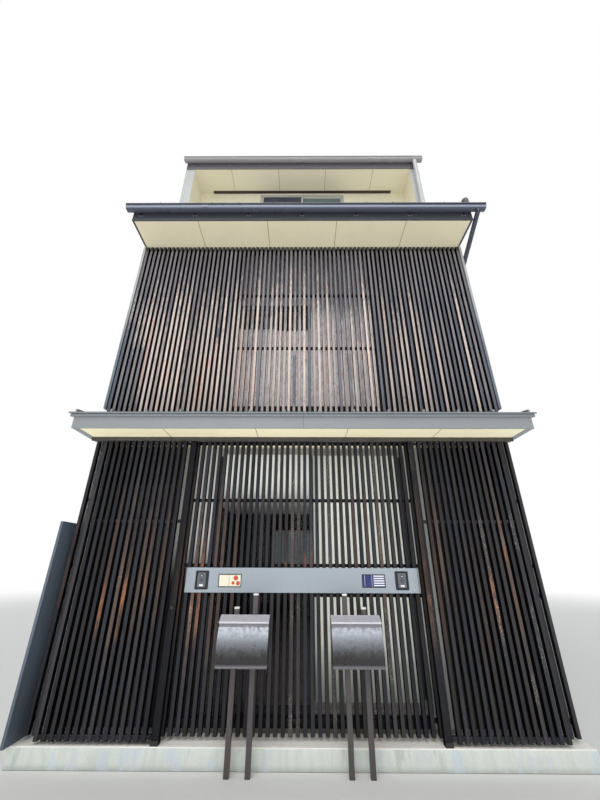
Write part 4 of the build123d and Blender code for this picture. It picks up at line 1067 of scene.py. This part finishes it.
def make_gutter_brackets():
    """Straps that carry the gutters, each with two pale screw heads below."""
    straps, heads = bmesh.new(), bmesh.new()
    for gutter, gaps, side in (
        ("lower_gutter", (0.707, 1.414, 2.121), -1), ("upper_gutter", (0.7, 1.4, 2.1), -1),
        ("rear_gutter", (0.7, 1.4, 2.1), 1),
    ):
        low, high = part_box(gutter)
        wall_side = high[1] if side < 0 else low[1]
        near, far = sorted((wall_side, wall_side - side * 0.004))
        for x in (*(-gap for gap in reversed(gaps)), 0.0, *gaps):
            add_block(straps, (x - 0.011, near, low[2] - 0.030), (x + 0.011, far, low[2] + 0.030), 0.0008)
            for shift in (-0.016, 0.016):
                add_dome(heads, (x + shift, wall_side - side * 0.001, low[2] - 0.028), (0.006, 0.004, 0.006), 10, 6)
    make_piece("gutter_bracket_straps", straps, gutter_metal)
    make_piece("gutter_bracket_screws", heads, white_plastic)


def make_pipe_clips():
    """Collars that hold the downpipes, with their arms to the walls."""
    dark, pale = bmesh.new(), bmesh.new()
    for mesh, centre, radius, levels, axis, wall in (
        (dark, (2.281, -3.450), 0.030, (0.55, 1.75, 2.35, 3.35, 4.45), 0, 2.2250),
        (dark, (-2.157, 3.840), 0.030, (0.55, 1.85, 3.15, 4.45, 5.75, 7.05), 1, 3.8000),
        (pale, (2.157, -3.037), 0.038, (6.55, 7.35, 8.05), 1, -2.9670),
    ):
        low, high = [value - 0.008 for value in centre], [value + 0.008 for value in centre]
        low[axis], high[axis] = sorted((wall, centre[axis] + math.copysign(radius, wall - centre[axis])))
        for level in levels:
            add_ring(mesh, centre, radius - 0.001, radius + 0.003, level - 0.011, level + 0.011)
            add_block(mesh, (*low, level - 0.008), (*high, level + 0.008), 0.001)
    make_piece("dark_pipe_clips", dark, pipe_metal)
    make_piece("pale_pipe_clips", pale, pale_plastic)


def make_vent_slots():
    """Narrow bars across the upper eave's vent strip."""
    mesh = bmesh.new()
    low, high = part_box("soffit_vent")
    step = (high[0] - low[0]) / VENT_BARS
    for number in range(VENT_BARS):
        x = low[0] + (number + 0.5) * step
        add_block(mesh, (x - 0.009, low[1] + 0.008, low[2] - 0.002), (x + 0.009, high[1] - 0.008, low[2] + 0.001))
    make_piece("soffit_vent_bars", mesh, vent_metal)


for make in (
    make_rear_trims, make_eave_ends, make_rear_sills, make_blind, make_intercoms, make_nameplates, make_sign_screws,
    make_mailbox_trims, make_gutter_brackets, make_pipe_clips, make_vent_slots,
):
    make()


# Floor, light and camera
def make_floor():
    """A plain pale floor that fades to the white background far away."""
    finish, surface, position, _ = new_finish("pale_floor")
    speckled = blend(noise(position, 90.0, 3.0), (222, 222, 220), (230, 230, 228))
    feed(surface, {"Roughness": 0.9, "Specular IOR Level": 0.1, "Base Color": speckled})
    distance = put("VectorMath", {0: position}, operation="LENGTH").outputs["Value"]
    white = put("Emission", {"Color": (1, 1, 1, 1), "Strength": 1.0})
    mix_surfaces(times(between(distance, 9.0, 22.0), seen_directly()), surface, white, "Material Output")
    mesh = bmesh.new()
    bmesh.ops.create_circle(mesh, cap_ends=True, radius=60, segments=64)
    floor = place_mesh("pale_floor", mesh, finish)


def make_sky():
    """Even light from all round, over a white background."""
    world = bpy.data.worlds.new("soft_sky")
    world.use_nodes = True
    Bench.tree = world.node_tree
    light = world.node_tree.nodes["Background"]
    feed(light, {"Color": (0.93, 0.96, 1.0, 1), "Strength": 0.6})
    white = put("Background", {"Color": (1, 1, 1, 1), "Strength": 1.0})
    mix_surfaces(seen_directly(), light, white, "World Output")
    scene.world = world


def make_lamp(name, kind, turn, power, tint):
    """A lamp of one kind, turned by angles in degrees."""
    data = bpy.data.lights.new(name, kind)
    data.energy = power
    data.color = tint
    lamp = bpy.data.objects.new(name, data)
    lamp.rotation_euler = [math.radians(angle) for angle in turn]
    scene.collection.objects.link(lamp)
    return lamp


def make_panel_lamp(name, place, turn, size, power):
    """A soft rectangular lamp that the camera, mirrors and glass don't see."""
    lamp = make_lamp(name, "AREA", turn, power, (1.0, 0.99, 0.97))
    lamp.data.shape = "RECTANGLE"
    lamp.data.size, lamp.data.size_y = size
    lamp.location = place
    lamp.visible_camera = False
    lamp.visible_glossy = False
    lamp.visible_transmission = False


def make_camera():
    """A wide camera at eye height in the street, tilted up."""
    data = bpy.data.cameras.new("street_camera")
    data.lens = 15.985
    data.sensor_width = 36
    data.clip_start = 0.05
    data.clip_end = 200
    camera = bpy.data.objects.new("street_camera", data)
    aim = Matrix.Rotation(math.radians(0.35), 4, "Z") @ Matrix.Rotation(math.radians(90 + 24.55), 4, "X")
    roll = Matrix.Rotation(math.radians(0.20), 4, "Z")
    camera.matrix_world = Matrix.Translation((0.001, -7.3488, 1.4225)) @ aim @ roll
    scene.collection.objects.link(camera)
    scene.camera = camera


make_floor()
make_sky()
high_lamp = make_lamp("high_soft_lamp", "SUN", (40, 0, -12), 1.2, (1.0, 0.985, 0.96))
high_lamp.data.angle = math.radians(50)
make_panel_lamp("low_bounce_lamp", (0, -6.3, 0.03), (180 - 1, 0, 0), (9, 5), 275)
make_panel_lamp("terrace_bounce_lamp", (0, -3.9, 6.35), (180 - 44, 0, 0), (4, 0.9), 15)
make_panel_lamp("window_lamp", (0.0, -3.62, 1.62), (90, 0, 0), (2.3, 1.9), 12.5)
make_panel_lamp("upper_wall_lamp", (0.03, -3.60, 3.75), (90, 0, 0), (1.7, 1.6), 5)
make_panel_lamp("ground_room_lamp", (-0.6, -1.2, 1.0), (180, 0, 0), (2.2, 3.6), 70)
make_camera()
scene.view_settings.view_transform = "Standard"
